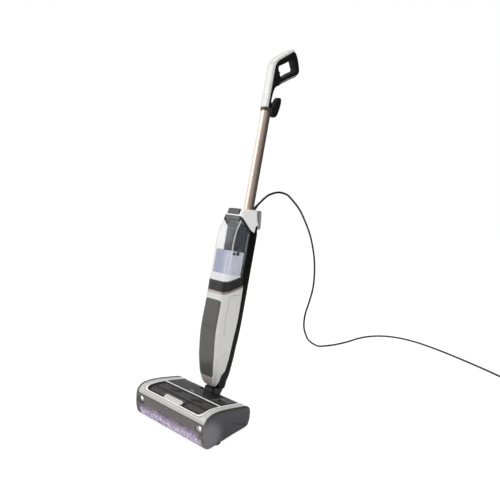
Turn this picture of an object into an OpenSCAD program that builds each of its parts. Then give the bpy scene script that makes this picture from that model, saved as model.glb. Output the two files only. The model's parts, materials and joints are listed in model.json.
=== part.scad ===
/* [Head] */
// overall width of the floor head over its side covers
head_w = 295; // [280:1:310]
// distance from the origin forward to the front of the head
head_front = 106; // [100:1:112]
// distance from the origin back to the rear of the head
head_rear = 77; // [74:1:84]
// height of the head at the top of its front arch
head_h = 96; // [92:1:102]
// thickness of the skins and trays of the head
head_wall = 2.5; // [2:0.1:3]
// thickness of a side cover plate
side_t = 3.2; // [2.5:0.1:5]
// width of each white side arm of the bezel
arm_w = 24; // [18:1:30]
// height of the lower edge of the white bezel strip
bezel_z = 74; // [68:1:78]
// position of the seam between window and rear deck
seam_y = -15; // [-20:1:-8]
// width of the window's release tab
tab_w = 80; // [60:1:90]
// front edge of the smoked window
window_y = -88; // [-92:1:-80]

/* [Brush roller] */
// distance of the roller axis in front of the origin
roller_y = 62; // [60:1:64]
// outer radius of the soft pile
pile_r = 30.5; // [28:0.5:31.5]
// radius of the roller tube under the pile
core_r = 22; // [18:0.5:24]
// radius of the roller's end journals
journal_r = 6; // [5:0.5:8]

/* [Wheels] */
// radius of the rear wheels
wheel_r = 17; // [14:0.5:19]
// width of a rear wheel
wheel_w = 16; // [12:1:20]
// distance of the wheel axle behind the origin
wheel_y = 58; // [54:1:59]
// distance of each wheel's middle from the centre
wheel_x = 92; // [80:1:100]

/* [Neck] */
// distance of the recline axis behind the origin
pivot_y = 60; // [58:1:62]
// height of the recline axis
pivot_z = 50; // [48:1:54]
// angle that the upright leans back at rest
recline = 13.7; // [8:0.1:18]
// radius of the recline pin
hinge_r = 4; // [3:0.25:5]
// radius of the neck's swivel spigot
spigot_r = 12; // [10:0.5:14]
// set back of the swivel axis from the recline axis
spigot_y = 4; // [2:0.5:6]

/* [Upright] */
// height of the body above the recline axis
pod_h = 588; // [560:1:610]
// reach of the body in front of the recline axis
pod_front = 62; // [58:1:66]
// reach of the body behind the recline axis
pod_rear = 50; // [48:1:54]
// width of the body
pod_w = 86; // [80:1:94]
// plan radius of the body's corners
pod_r = 22; // [16:1:26]
// wall of the body shells
pod_wall = 2.6; // [2.2:0.1:3]
// wall of the tanks
tank_wall = 2.2; // [1.8:0.1:2.6]
// radius of the handle tube
tube_r = 15.5; // [14:0.25:17]
// wall of the handle tube
tube_wall = 1.1; // [1:0.1:2]
// height of the handle collar above the recline axis
collar_z = 904; // [880:1:920]
// width of the handle
handle_w = 26; // [24:1:30]

/* [Cord] */
// thickness of the mains cord
cord_d = 7; // [6:0.5:8]
// mean radius of the round coil
coil_r = 56; // [50:1:60]
// thickness of the bundle of turns in the coil
coil_t = 30; // [26:1:32]

/* [Fits] */
// radial clearance of running fits
run = 0.05; // [0.02:0.01:0.1]
// gap round seated and lift-off pieces
gap = 0.3; // [0.2:0.05:0.4]
// gap round pieces that turn in the open
free_gap = 1; // [0.6:0.1:1.5]

/* [Hidden] */
$fn = 48;

in_w = head_w / 2 - side_t;
wall_x = in_w - 12;
deck_x = in_w - arm_w;
roller = [-roller_y, pile_r + 1.5];
chamber_r = pile_r + 4;
motor_yz = [12, 34];
pulley_r = 8;
drive_r = 18;
motor_r = 19;
shaft_r = 2.5;
axle_r = 3;
duct_r = 13;
pedal_at = [deck_x - 29.3, 18];
lamp_x = in_w - 16.3;
tab_hinge = [window_y + 17.4, head_h - 1.2];
notch_x = 33;
cheek_in = 24;
cheek_t = 7;
stem = [spigot_y, 36];
tube_y = 25;
band_slope = 20;
band_z = pod_h * 329 / 588;
band_h = 28;
lid_slope = 37;
lid_z = pod_h - 27;
bay_x = 29;
bay_y = 21;
bay_z = [pod_h * 215 / 588, pod_h * 470 / 588];
motor_z = bay_z[0] - 1;
pump_z = pod_h * 112 / 588;
board_z = pod_h * 160 / 588;
filter_z = pod_h * 389 / 588;
sieve_z = pod_h * 460 / 588;
board_y = -43;
tube_z = pod_h - 40;
hook_z = pod_h - 35;
latch_z = pod_h - 22;

// smooth curves through a few points
function crv(a, b, c, d, t) = 0.5 * (2 * b + (c - a) * t + (2 * a - 5 * b + 4 * c - d) * t * t
  + (3 * b - a - 3 * c + d) * t * t * t);
function path(p, n) = concat([for (i = [0:len(p) - 2], k = [0:n - 1])
  crv(p[max(i - 1, 0)], p[i], p[i + 1], p[min(i + 2, len(p) - 1)], k / n)], [p[len(p) - 1]]);

// side outline of the head: forward is negative
head_pts = [[-78, 4], [-93, 5], [-102, 14], [-106, 38], [-105, 60], [-103, 74], [-96, 87],
  [-82, 94.5], [-64, 96], [-40, 93.5], [-15, 88.5], [20, 80], [50, 72], [66, 67], [75, 58],
  [77, 45], [75, 28], [69, 14], [58, 8], [0, 7]];
function head_pt(p) = [p[0] < 0 ? p[0] * head_front / 106 : p[0] * head_rear / 77, p[1] * head_h / 96];
module head_side(inset = 0) {
  offset(delta = -inset) polygon(path([for (p = head_pts) head_pt(p)], 4));
}
module side_box(y0, y1, z0, z1) {
  translate([y0, z0]) square([y1 - y0, z1 - z0]);
}

// a profile of depth and height drawn across the machine
module across(x0, x1) {
  translate([x0, 0, 0]) rotate([90, 0, 90]) linear_extrude(x1 - x0) children();
}
module both_sides() {
  children();
  mirror([1, 0, 0]) children();
}
module rod(x0, x1, y, z, r) {
  translate([x0, y, z]) rotate([0, 90, 0]) cylinder(r = r, h = x1 - x0);
}

// the upright's own frame: its origin on the recline axis, leaning back
module upright() {
  translate([0, pivot_y, pivot_z]) rotate([-recline, 0, 0]) children();
}

// outlines of the upright body
front_pts = [[-6, 34], [-14, 37], [-21, 44], [-28, 58], [-34.5, 77], [-40, 95], [-46.5, 120],
  [-53.5, 156], [-57.5, 180], [-61, 212], [-61.5, 250], [-61, 331], [-62, 361], [-62, 452],
  [-60.5, 486], [-54, 520], [-47, 542], [-42, 561], [-37, 584]];
rear_pts = [[37, 592], [43, 561], [50, 535], [50, 400], [50, 247], [47.5, 190], [44, 152],
  [38, 95], [31, 64], [22, 48], [17, 39]];
width_pts = [[12, 34], [20, 37], [28, 47], [34, 62], [39, 85], [42, 120], [43, 160], [43, 490],
  [41, 525], [37, 561], [33, 600]];
function fit_up(p) = [p[0] * (p[0] < 0 ? pod_front / 62 : pod_rear / 50), p[1] * pod_h / 588];
module pod_side(inset = 0) {
  offset(delta = -inset) polygon(concat(path([for (p = front_pts) fit_up(p)], 3),
    path([for (p = rear_pts) fit_up(p)], 3)));
}
module pod_plan(inset = 0) {
  offset(delta = -inset) offset(r = pod_r) offset(delta = -pod_r)
    translate([-pod_w / 2, -pod_front]) square([pod_w, pod_front + pod_rear]);
}
module pod_face(inset = 0) {
  w = path([for (p = width_pts) [p[0] * pod_w / 86, p[1] * pod_h / 588]], 3);
  offset(delta = -inset) polygon(concat(w, [for (i = [len(w) - 1:-1:0]) [-w[i][0], w[i][1]]]));
}
module pod(inset = 0) {
  intersection() {
    across(-pod_w, pod_w) pod_side(inset);
    linear_extrude(pod_h + 40) pod_plan(inset);
    translate([0, 100, 0]) rotate([90, 0, 0]) linear_extrude(200) pod_face(inset);
  }
}
function up_z(z) = z * pod_h / 588;
function band_at(y) = band_z + (y + 61) * tan(band_slope);
function lid_at(y) = lid_z - (y + 41) * tan(lid_slope);

// side outlines that share out the body between its pieces
module zone_shell() {
  polygon([[-90, 20], [-6, 20], [-8, up_z(79)], [2, up_z(86)], [6, up_z(119)], [11, up_z(188)],
    [16, up_z(247)], [15, up_z(312)], [14, band_at(14) - 5], [-90, band_at(-90) - 5]]);
}
module zone_trim() {
  polygon([[-90, band_at(-90) - 5 + gap / 3], [14, band_at(14) - 5 + gap / 3],
    [14, band_at(14) - gap / 3], [-90, band_at(-90) - gap / 3]]);
}
module zone_band() {
  polygon([[-90, band_at(-90)], [14, band_at(14)], [14, band_at(14) + 4], [5, band_at(5) + band_h],
    [-90, band_at(-90) + band_h]]);
}
module zone_spine() {
  polygon([[-6 + gap, 38], [60, 38], [60, lid_at(40) + 14], [44, lid_at(40) + 14], [5.5, lid_at(5.5)],
    [5.5, band_at(5.5) + band_h], [14.3, band_at(14) + 4], [14.3, band_at(14)], [15.3, up_z(312)],
    [16.3, up_z(247)], [11.3, up_z(188)], [6.3, up_z(119)], [2.3, up_z(86) - gap], [-8 + gap, up_z(79) - gap]]);
}
module zone_shoulder() {
  polygon([[-90, lid_at(-41) + 1], [-41, lid_at(-41) + 1], [5.5, lid_at(5.5) + gap],
    [44.2, lid_at(40) + 14 + gap], [70, lid_at(40) + 14 + gap], [70, pod_h + 52], [-90, pod_h + 52]]);
}
module zone_tank(top = 0) {
  polygon([[-90, band_at(-90) + band_h + gap], [5.2, band_at(5.2) + band_h + gap],
    [5.2, lid_at(5.2) - 11 - top], [-41, lid_at(-41) - 11 - top], [-90, lid_at(-41) - 11 - top]]);
}
module zone_lid() {
  polygon([[-90, lid_at(-41) - 11], [-41, lid_at(-41) - 11], [5.2, lid_at(5.2) - 11],
    [5.2, lid_at(5.2) - gap], [-41, lid_at(-41) - gap], [-90, lid_at(-41) - gap]]);
}

// side outlines of the handle: rearward is positive
grip_out = [[7.5, 912], [7.5, 1036], [16, 1060], [45, 1091], [92, 1129], [102, 1128], [136, 1084],
  [138, 1068], [125, 1056], [50, 994], [36, 984], [27, 965], [25, 912]];
grip_hole = [[37, 1046], [59, 1020], [117, 1068], [97, 1094]];
skin_line = [[20, 900], [20, 1042], [30, 1062], [88, 1112], [110, 1131], [60, 1160], [-30, 1160],
  [-30, 900]];
function to_collar(p) = [for (q = p) [q[0], q[1] - 904 + collar_z]];
module grip_side(inset = 0) {
  difference() {
    offset(delta = -inset) offset(r = 7) offset(delta = -7) polygon(to_collar(grip_out));
    offset(delta = inset) offset(r = 6) offset(delta = -6) polygon(to_collar(grip_hole));
  }
}
module grip_solid(inset = 0) {
  across(-handle_w / 2 + inset, handle_w / 2 - inset) grip_side(inset);
}
// the two buttons sit on the inner front face of the grip
button_at = [0, 48, 1033 - 904 + collar_z];
button_tilt = -48;
module button_place(x) {
  translate([x, 0, 0] + button_at) rotate([button_tilt, 0, 0]) children();
}

// route of the cord from the strain relief to the coil
cord_exit = [24, 22, pod_h + 4];
function up_pt(p) = [p[0], pivot_y + p[1] * cos(recline) + p[2] * sin(recline),
  pivot_z - p[1] * sin(recline) + p[2] * cos(recline)];
gland_dir = [0, 0.813, 0.582];
cord_start = up_pt(cord_exit) + 20 * gland_dir;
fl = cord_d / 2 + 0.3;
cord_route = [cord_start, cord_start + 8 * gland_dir, [21.4, 262, 644], [17.6, 281, 652], [13.4, 312, 661.6],
  [7, 363, 666], [1.5, 408, 659], [-2.6, 441, 646], [-11.3, 510, 601], [-17, 556, 555.6],
  [-23.6, 608, 489.6], [-28, 643, 414], [-29.5, 655, 352.7], [-28.8, 650, 284], [-25, 621, 230],
  [-21.6, 592, 187], [-21, 586, 137], [-24.4, 614, 86.6], [-28, 643, 60.4], [-32, 678, 38],
  [-37, 722, 16], [-34, 768, fl + 1.2], [-12, 815, fl], [8, 880, fl], [22, 950, fl], [48, 1010, fl],
  [95, 1058, fl], [160, 1082, fl], [240, 1082, fl], [330, 1062, fl], [430, 1030, fl], [530, 992, fl],
  [590, 966, fl], [628, 950, fl], [641, 945, fl + 0.3]];
coil_at = [666, 1006];
coil_out = 70.5;
plug_at = [coil_at[0] + coil_out - 4, coil_at[1]];

// a tube swept along points, its rings held square to the route
function unit(v) = v / norm(v);
function aim(p, i) = unit(p[min(i + 1, len(p) - 1)] - p[max(i - 1, 0)]);
function ring(c, t, r, n) = let (s = unit(cross(t, [1, 0.2, 0.1])), u = cross(s, t))
  [for (k = [0:n - 1]) c + r * (cos(360 * k / n) * s + sin(360 * k / n) * u)];
module sweep(p, r, n) {
  m = len(p);
  pts = [for (i = [0:m - 1]) each ring(p[i], aim(p, i), r, n)];
  sides = [for (i = [0:m - 2], k = [0:n - 1])
    [i * n + k, i * n + (k + 1) % n, (i + 1) * n + (k + 1) % n, (i + 1) * n + k]];
  polyhedron(pts, concat([[for (k = [n - 1:-1:0]) k]], sides, [[for (k = [0:n - 1]) (m - 1) * n + k]]));
}

// ---------------------------------------------------------------- head
module chassis_side() {
  head_side(head_wall + gap);
  intersection() {
    head_side(0);
    side_box(-roller_y, 90, 0, 30 - gap);
  }
}
module cheeks(g = 0) both_sides() across(cheek_in, cheek_in + cheek_t) difference() {
  union() {
    translate([pivot_y, pivot_z]) circle(11);
    polygon([[pivot_y - 20, 9], [pivot_y + 10, 9], [pivot_y + 10, pivot_z], [pivot_y - 10, pivot_z]]);
  }
  translate([pivot_y, pivot_z]) circle(hinge_r);
}
module at_screws() for (x = [-70, 70]) for (y = [-8, 36]) translate([x, y, 0]) children();
module at_lamps() both_sides() translate([lamp_x, -head_front + 14, 60]) rotate([90, 0, 0]) children();

module chassis() color([0.12, 0.12, 0.13]) {
  difference() {
    union() {
      across(-wall_x, wall_x) difference() {
        intersection() {
          chassis_side();
          union() {
            side_box(-roller_y, 90, 0, 120);
            translate(roller) circle(chamber_r + 2.5);
          }
        }
        side_box(-130, window_y + 2, 0, 120);
        translate(roller) circle(chamber_r);
        side_box(-130, -roller_y + chamber_r - 6, -1, roller[1]);
        difference() {
          side_box(-60, head_rear - 8, 11, 130);
          translate(roller) circle(chamber_r + 2.5);
        }
      }
      both_sides() across(wall_x, wall_x + 2.5) chassis_side();
      at_wheels() rod(-2, 2, wheel_y, wheel_r, 7.5);
      at_screws() translate([0, 0, 9]) cylinder(r = 4.5, h = 22);
      translate([pedal_at[0], pedal_at[1], 9]) cylinder(r = 7.5, h = 30);
      translate([-wall_x + 7, motor_yz[0] - 16, 9]) cube([36, 32, 15]);
    }
    translate([-notch_x, pivot_y - 14, 26]) cube([2 * notch_x, 60, 80]);
    both_sides() translate([wheel_x - wheel_w / 2 - 2, wheel_y - 21, -5]) cube([wheel_w + 4, 60, 44]);
    both_sides() rod(wheel_x - 30, wheel_x + 30, wheel_y, wheel_r, axle_r);
    both_sides() rod(wall_x - 1, wall_x + 3, roller[0], roller[1], journal_r + run);
    rod(-wall_x - 3, -wall_x + 1, motor_yz[0], motor_yz[1], 9 + gap);
    rod(-wall_x + 1, -70, motor_yz[0], motor_yz[1], motor_r + gap);
    translate([0, -34, 40]) rotate([-90, 0, 0]) cylinder(r = duct_r + gap, h = 20);
    at_lamps() scale([1.45, 1, 1]) cylinder(r = 6.5 + gap, h = 10 + 2 * gap, center = true);
    translate([pedal_at[0], pedal_at[1], 11]) cylinder(r = 4 + run, h = 60);
    at_screws() {
      cylinder(r = 1.6, h = 40);
      cylinder(r = 4, h = 9);
    }
  }
  cheeks();
}
module at_wheels() for (s = [-1, 1]) for (e = [-1, 1])
  translate([s * wheel_x + e * (wheel_w / 2 + 5), 0, 0]) children();

module side_covers() color([0.24, 0.24, 0.26]) both_sides() {
  hull() {
    across(in_w + gap, in_w + gap + 0.6) head_side(0);
    across(head_w / 2 - 0.5, head_w / 2) head_side(3.5);
  }
  difference() {
    across(wall_x + 2.5 + gap, in_w + gap + 0.6) head_side(head_wall + gap);
    across(wall_x + 2, in_w + 1) head_side(head_wall + gap + 2);
    at_lamps() scale([1.45, 1, 1]) cylinder(r = 6.5 + gap, h = 10 + 2 * gap, center = true);
  }
}

module brush_lens() color([0.8, 0.82, 0.85, 0.35]) {
  across(-in_w, in_w) intersection() {
    difference() {
      head_side(0);
      head_side(head_wall);
    }
    polygon([[-130, 5], [-88, 5], [-88, 40], [-96, bezel_z - gap], [-130, bezel_z - gap]]);
  }
}

module bezel() color([0.9, 0.9, 0.9]) {
  across(-in_w, in_w) intersection() {
    difference() {
      head_side(0);
      head_side(head_wall);
    }
    side_box(-130, window_y - gap, bezel_z, 120);
  }
  both_sides() across(deck_x, in_w) intersection() {
    difference() {
      head_side(0);
      head_side(head_wall);
    }
    union() {
      side_box(-100, head_rear - 4, 50, 120);
      side_box(-60, 90, 62, 120);
    }
  }
}

module brush_window() color([0.2, 0.2, 0.22, 0.6]) {
  difference() {
    across(-deck_x + gap, deck_x - gap) intersection() {
      difference() {
        head_side(0.2);
        head_side(head_wall);
      }
      side_box(window_y, seam_y - 1, 60, 120);
    }
    translate([-tab_w / 2 - gap, window_y - 1, 60]) cube([tab_w + 2 * gap, 20 + 1 + gap, 60]);
  }
  across(-tab_w / 2 - 4, tab_w / 2 + 4) intersection() {
    difference() {
      head_side(head_wall);
      head_side(head_wall + 2);
    }
    side_box(window_y + 4, window_y + 26, 60, 120);
  }
}

module release_tab() color([0.92, 0.92, 0.92]) {
  across(-tab_w / 2, tab_w / 2) intersection() {
    difference() {
      offset(delta = 1.2) head_side(0);
      head_side(head_wall - gap);
    }
    side_box(window_y + 0.2, window_y + 17, 60, 120);
  }
  for (i = [0:2]) across(4 - tab_w / 2, tab_w / 2 - 4) intersection() {
    difference() {
      offset(delta = 1.9) head_side(0);
      head_side(1);
    }
    side_box(window_y + 4 + 4 * i, window_y + 5.4 + 4 * i, 60, 120);
  }
  rod(2 - tab_w / 2, tab_w / 2 - 2, tab_hinge[0], tab_hinge[1], 1.1);
}

module rear_deck() color([0.16, 0.16, 0.17]) difference() {
  union() {
    across(-deck_x + gap, deck_x - gap) intersection() {
      difference() {
        head_side(0.2);
        head_side(head_wall);
      }
      union() {
        side_box(seam_y + 1, head_rear - 6, 50, 120);
        side_box(40, 90, 30, 120);
      }
    }
    intersection() {
      at_screws() translate([0, 0, 31 + gap]) cylinder(r = 4.5, h = 70);
      across(-deck_x, deck_x) head_side(1.2);
    }
  }
  at_screws() translate([0, 0, 30]) cylinder(r = 1.5, h = 20);
  translate([-notch_x, pivot_y - 16, 26]) cube([2 * notch_x, 60, 80]);
  translate([pedal_at[0] - 19 - gap, pedal_at[1] - 14 - gap, 40]) cube([38 + 2 * gap, 28 + 2 * gap, 80]);
}

module deck_seam() color([0.95, 0.95, 0.95]) {
  across(-deck_x + gap, deck_x - gap) intersection() {
    difference() {
      offset(delta = 0.5) head_side(0);
      head_side(1.6);
    }
    side_box(seam_y - 0.7, seam_y + 0.7, 60, 120);
  }
}

module deck_pedal() color([0.07, 0.07, 0.08]) {
  across(pedal_at[0] - 19, pedal_at[0] + 19) intersection() {
    difference() {
      head_side(5);
      head_side(9);
    }
    side_box(pedal_at[1] - 14, pedal_at[1] + 14, 40, 120);
  }
  translate([pedal_at[0], pedal_at[1], 16]) cylinder(r = 4, h = 56);
}

module headlight_housings() color([0.35, 0.35, 0.37]) at_lamps() difference() {
  scale([1.45, 1, 1]) cylinder(r = 6.5, h = 10, center = true);
  translate([0, 0, 2]) scale([1.45, 1, 1]) cylinder(r = 5, h = 10, center = true);
}

module headlight_lamps() color([1, 1, 0.95]) at_lamps()
  translate([0, 0, -3 + gap]) scale([1.45, 1, 1]) cylinder(r = 4.5, h = 6);

module spray_nozzles() color([0.03, 0.03, 0.03]) for (x = [-48, 46]) {
  translate([x - 20, -44, roller[1] + chamber_r - 10]) difference() {
    cube([40, 13, 19]);
    translate([3, 4, 15]) cube([34, 5, 5]);
    translate([-1, 44 - roller_y, 10 - chamber_r]) rotate([0, 90, 0])
      cylinder(r = chamber_r + 2.5 + gap, h = 42);
  }
}

module squeegee() color([0.05, 0.05, 0.05]) {
  across(-wall_x + 4, wall_x - 4) polygon([[-3, 0], [3, 0], [2, 5], [6, 5.4], [6, 6.6], [-6, 6.6],
    [-6, 5.4], [-2, 5]]);
}

module skid_feet() color([0.03, 0.03, 0.03]) both_sides() {
  across(in_w - 7.5, in_w - 1) polygon([[-55, 0], [-45, 0], [-41, 5], [-41, 7.5], [-57, 7.5], [-57, 5]]);
}

module suction_duct() color([0.2, 0.2, 0.21]) translate([0, 0, 40]) rotate([-90, 0, 0]) difference() {
  union() {
    translate([0, 0, -27.5]) cylinder(r = duct_r, h = 71);
    for (i = [0:8]) translate([0, 0, -20 + 7 * i]) cylinder(r = duct_r + 1.2, h = 2.4);
  }
  translate([0, 0, -30]) cylinder(r = duct_r - 1.6, h = 80);
}

module head_screws() color([0.6, 0.6, 0.62]) at_screws()
  translate([0, 0, 6.7]) {
    cylinder(r = 1.5, h = 34);
    difference() {
      cylinder(r = 3.4, h = 2.3);
      translate([-3, -0.5, -0.1]) cube([6, 1, 1]);
      translate([-0.5, -3, -0.1]) cube([1, 6, 1]);
    }
  }

module roller_core() color([0.3, 0.3, 0.33]) {
  difference() {
    rod(-wall_x + free_gap, wall_x - free_gap, roller[0], roller[1], core_r);
    rod(-wall_x + 4, wall_x - 4, roller[0], roller[1], core_r - 2.2);
  }
  rod(-wall_x - 9, -wall_x + 3, roller[0], roller[1], journal_r);
  rod(wall_x - 3, wall_x + 2.3, roller[0], roller[1], journal_r);
}

module roller_pile() color([0.75, 0.68, 0.85]) difference() {
  rod(-wall_x + 3, wall_x - 3, roller[0], roller[1], pile_r);
  rod(-wall_x, wall_x, roller[0], roller[1], core_r + 0.1);
}

module roller_pulley() color([0.25, 0.25, 0.27]) difference() {
  union() {
    rod(-wall_x - 8.5, -wall_x - 3.2, roller[0], roller[1], drive_r);
    rod(-wall_x - 9, -wall_x - 8, roller[0], roller[1], drive_r + 1.2);
  }
  rod(-wall_x - 12, -wall_x, roller[0], roller[1], journal_r + 0.02);
}

module brush_motor() color([0.55, 0.56, 0.58]) {
  rod(-wall_x + 3, -wall_x + 52, motor_yz[0], motor_yz[1], motor_r);
  rod(-wall_x - 2, -wall_x + 4, motor_yz[0], motor_yz[1], 9);
  rod(-wall_x - 9.5, -wall_x, motor_yz[0], motor_yz[1], shaft_r);
}

module motor_pulley() color([0.7, 0.7, 0.72]) difference() {
  union() {
    rod(-wall_x - 8.5, -wall_x - 3.2, motor_yz[0], motor_yz[1], pulley_r);
    rod(-wall_x - 9, -wall_x - 8, motor_yz[0], motor_yz[1], pulley_r + 1.2);
  }
  rod(-wall_x - 12, -wall_x, motor_yz[0], motor_yz[1], shaft_r + run);
}

module drive_belt() color([0.02, 0.02, 0.02]) {
  across(-wall_x - 7.7, -wall_x - 3.7) difference() {
    hull() {
      translate(roller) circle(drive_r + 1.9);
      translate(motor_yz) circle(pulley_r + 1.9);
    }
    hull() {
      translate(roller) circle(drive_r + 0.3);
      translate(motor_yz) circle(pulley_r + 0.3);
    }
  }
}

module wheel(x) {
  difference() {
    rod(x - wheel_w / 2, x + wheel_w / 2, wheel_y, wheel_r, wheel_r);
    rod(x - wheel_w / 2 - 1, x - wheel_w / 2 + 4, wheel_y, wheel_r, wheel_r - 4);
    rod(x + wheel_w / 2 - 4, x + wheel_w / 2 + 1, wheel_y, wheel_r, wheel_r - 4);
    rod(x - 20, x + 20, wheel_y, wheel_r, axle_r + run);
  }
}
module left_wheel() color([0.08, 0.08, 0.08]) wheel(-wheel_x);
module right_wheel() color([0.08, 0.08, 0.08]) wheel(wheel_x);

module wheel_axles() color([0.7, 0.7, 0.72]) both_sides()
  rod(wheel_x - wheel_w / 2 - 7, wheel_x + wheel_w / 2 + 7, wheel_y, wheel_r, axle_r);

// ---------------------------------------------------------------- neck
module hinge_pin() color([0.7, 0.7, 0.72])
  rod(-cheek_in - cheek_t, cheek_in + cheek_t, pivot_y, pivot_z, hinge_r);

module neck_elbow() color([0.05, 0.05, 0.05]) upright() difference() {
  union() {
    rod(-cheek_in + gap, cheek_in - gap, 0, 0, 13);
    across(-20, 20) polygon([[-13, 0], [-15, 22], [-13, 31], [17, 31], [17, 16], [13, 0]]);
    translate([0, stem[0], 28]) cylinder(r = spigot_r, h = 28);
  }
  rod(-40, 40, 0, 0, hinge_r + run);
  translate([0, stem[0], 12]) cylinder(r = spigot_r - 3, h = 60);
  translate([0, -2, 6]) rotate([110, 0, 0]) cylinder(r = 8, h = 30);
}

// ---------------------------------------------------------------- upright body
module lower_shell() color([0.9, 0.9, 0.89]) upright() difference() {
  intersection() {
    pod();
    across(-80, 80) zone_shell();
  }
  difference() {
    pod(pod_wall);
    translate([-80, -80, 0]) cube([160, 160, 44]);
  }
  panel_cut(gap, 0);
  trim_cut(gap, 0);
  translate([0, stem[0], 20]) cylinder(r = spigot_r + free_gap, h = 60);
}
module panel_cut(g, deep) {
  translate([0, -20, 0]) rotate([90, 0, 0]) linear_extrude(60) offset(delta = g)
    offset(r = 5) offset(delta = -5) polygon([[-27, up_z(80)], [27, up_z(80)],
      [31, up_z(130)], [31, up_z(303)], [-31, up_z(303)], [-31, up_z(130)]]);
}
module trim_cut(g, deep) {
  translate([0, -8, 0]) rotate([90, 0, 0]) linear_extrude(60) offset(delta = g)
    offset(r = 5) offset(delta = -5) polygon([[-16, up_z(47)], [16, up_z(47)],
      [27, up_z(80) - 1.5], [-27, up_z(80) - 1.5]]);
}

module front_panel() color([0.38, 0.38, 0.37]) upright() {
  intersection() {
    difference() {
      pod(0.4);
      pod(pod_wall);
    }
    panel_cut(0, 0);
  }
  intersection() {
    for (x = [-21.5, 21.5]) for (z = [board_z + 5, board_z + 37])
      translate([x, board_y - gap, z]) rotate([90, 0, 0]) cylinder(r = 2.5, h = 20);
    pod(1);
  }
}

module lower_trim() color([0.72, 0.6, 0.55]) upright() intersection() {
  difference() {
    pod(0.2);
    pod(pod_wall);
  }
  trim_cut(0, 0);
}

module upper_trim() color([0.78, 0.7, 0.64]) upright() intersection() {
  difference() {
    pod(0.3);
    pod(pod_wall);
  }
  across(-80, 80) zone_trim();
}

module mid_band() color([0.2, 0.19, 0.2]) upright() difference() {
  intersection() {
    pod();
    across(-80, 80) zone_band();
  }
  intersection() {
    pod(pod_wall);
    across(-80, 80) translate([0, -4]) zone_band();
  }
}

module spine() color([0.06, 0.06, 0.065]) upright() {
  spine_skin();
  shelves();
}
module spine_skin() difference() {
  intersection() {
    pod();
    across(-80, 80) zone_spine();
  }
  intersection() {
    pod(pod_wall);
    across(-80, 80) polygon([[-20, up_z(62)], [70, up_z(62)], [70, up_z(210)],
      [18.4, up_z(210)], [18.4, up_z(352)], [-20, up_z(352)]]);
  }
  intersection() {
    pod(pod_wall);
    across(-80, 80) polygon([[8, up_z(390)], [18.4, up_z(374)], [18.4, up_z(500)], [8, up_z(508)]]);
  }
  translate([-bay_x, bay_y, bay_z[0]]) cube([2 * bay_x, 60, bay_z[1] - bay_z[0]]);
  intersection() {
    pod(pod_wall);
    across(-80, 80) polygon([[9, up_z(474)], [70, up_z(474)], [70, up_z(530)], [9, up_z(516)]]);
  }
  translate([0, stem[0], 30]) cylinder(r = spigot_r + run, h = 28);
}
// shelves that carry the motor and the pump
module shelves() {
  intersection() {
    union() {
      translate([-32, -40, motor_z - gap - 3]) cube([64, 62, 3]);
      translate([-26, -26, pump_z - gap - 3]) cube([52, 70, 3]);
    }
    union() {
      pod(pod_wall + 1.5);
      intersection() {
        pod(1);
        across(-80, 80) offset(delta = -0.6) zone_spine();
      }
    }
  }
}

module shoulder() color([0.92, 0.92, 0.91]) upright() difference() {
  intersection() {
    pod();
    across(-80, 80) zone_shoulder();
  }
  difference() {
    intersection() {
      pod(3);
      across(-80, 80) translate([0, 3]) zone_shoulder();
    }
    translate([0, tube_y, tube_z - 48]) cylinder(r = tube_r + 3, h = 140);
    translate(cord_exit - [0, 0, 100]) cylinder(r = 8, h = 110);
    translate([0, pod_rear - 8 - gap - 3, hook_z]) rotate([-90, 0, 0]) cylinder(r = 11, h = 30);
    translate([-28 - gap, -60, latch_z - 3 - gap]) cube([56 + 2 * gap, 39, 60]);
  }
  translate([0, tube_y, tube_z - gap]) cylinder(r = tube_r + run, h = 80);
  translate([-25 - gap, -60, latch_z - gap]) cube([50 + 2 * gap, 36, 60]);
  translate(cord_exit - [0, 0, 26]) cylinder(r = 5, h = 40);
  translate(cord_exit) rotate([-40.7, 0, 0]) translate([0, 0, -1.2]) cylinder(r = 5.8, h = 24);
  translate([0, pod_rear - 8 - gap, hook_z]) rotate([-90, 0, 0]) cylinder(r = 8 + run, h = 30);
}

module tank_latch() color([0.16, 0.16, 0.16]) upright() {
  intersection() {
    pod(0.3);
    translate([-25, -70, latch_z]) cube([50, 42, 19]);
  }
}

// ---------------------------------------------------------------- dirty water tank
module dirty_tank() color([0.85, 0.88, 0.92, 0.3]) upright() difference() {
  intersection() {
    pod(0.3);
    across(-80, 80) zone_tank();
  }
  intersection() {
    pod(tank_wall + 0.3);
    across(-80, 80) polygon([[-90, band_at(-90) + band_h + gap + tank_wall],
      [5.2 - tank_wall, band_at(3) + band_h + gap + tank_wall], [5.2 - tank_wall, 600], [-90, 600]]);
  }
}

module tank_lid() color([0.1, 0.1, 0.11]) upright() difference() {
  intersection() {
    pod(0.3);
    across(-80, 80) zone_lid();
  }
  intersection() {
    pod(5);
    across(-80, 80) intersection() {
      translate([0, -6]) zone_lid();
      side_box(-90, 2.2, 400, 700);
    }
  }
}

module separator() color([0.1, 0.12, 0.2]) upright() difference() {
  intersection() {
    pod(10);
    across(-30, 30) polygon([[-42, sieve_z], [-1, sieve_z], [-1, lid_at(-1) - 6 - 2 * gap],
      [-36, lid_at(-36) - 6 - 2 * gap]]);
  }
  intersection() {
    pod(12);
    across(-28, 28) polygon([[-40, sieve_z - 2], [-3, sieve_z - 2], [-3, lid_at(-1) - 10], [-34, lid_at(-34) - 10]]);
  }
}

module filter_housing() color([0.82, 0.86, 0.95]) upright() difference() {
  intersection() {
    pod(6);
    across(-38, 38) polygon([[-60, filter_z], [0, filter_z], [0, sieve_z - gap],
      [-60, sieve_z - gap]]);
  }
  intersection() {
    pod(8);
    across(-36, 36) polygon([[-58, filter_z + 2], [-2, filter_z + 2], [-2, sieve_z - gap - 2],
      [-58, sieve_z - gap - 2]]);
  }
  translate([12, -22, sieve_z - 10]) cylinder(r = 9.5, h = 20);
}

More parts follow.
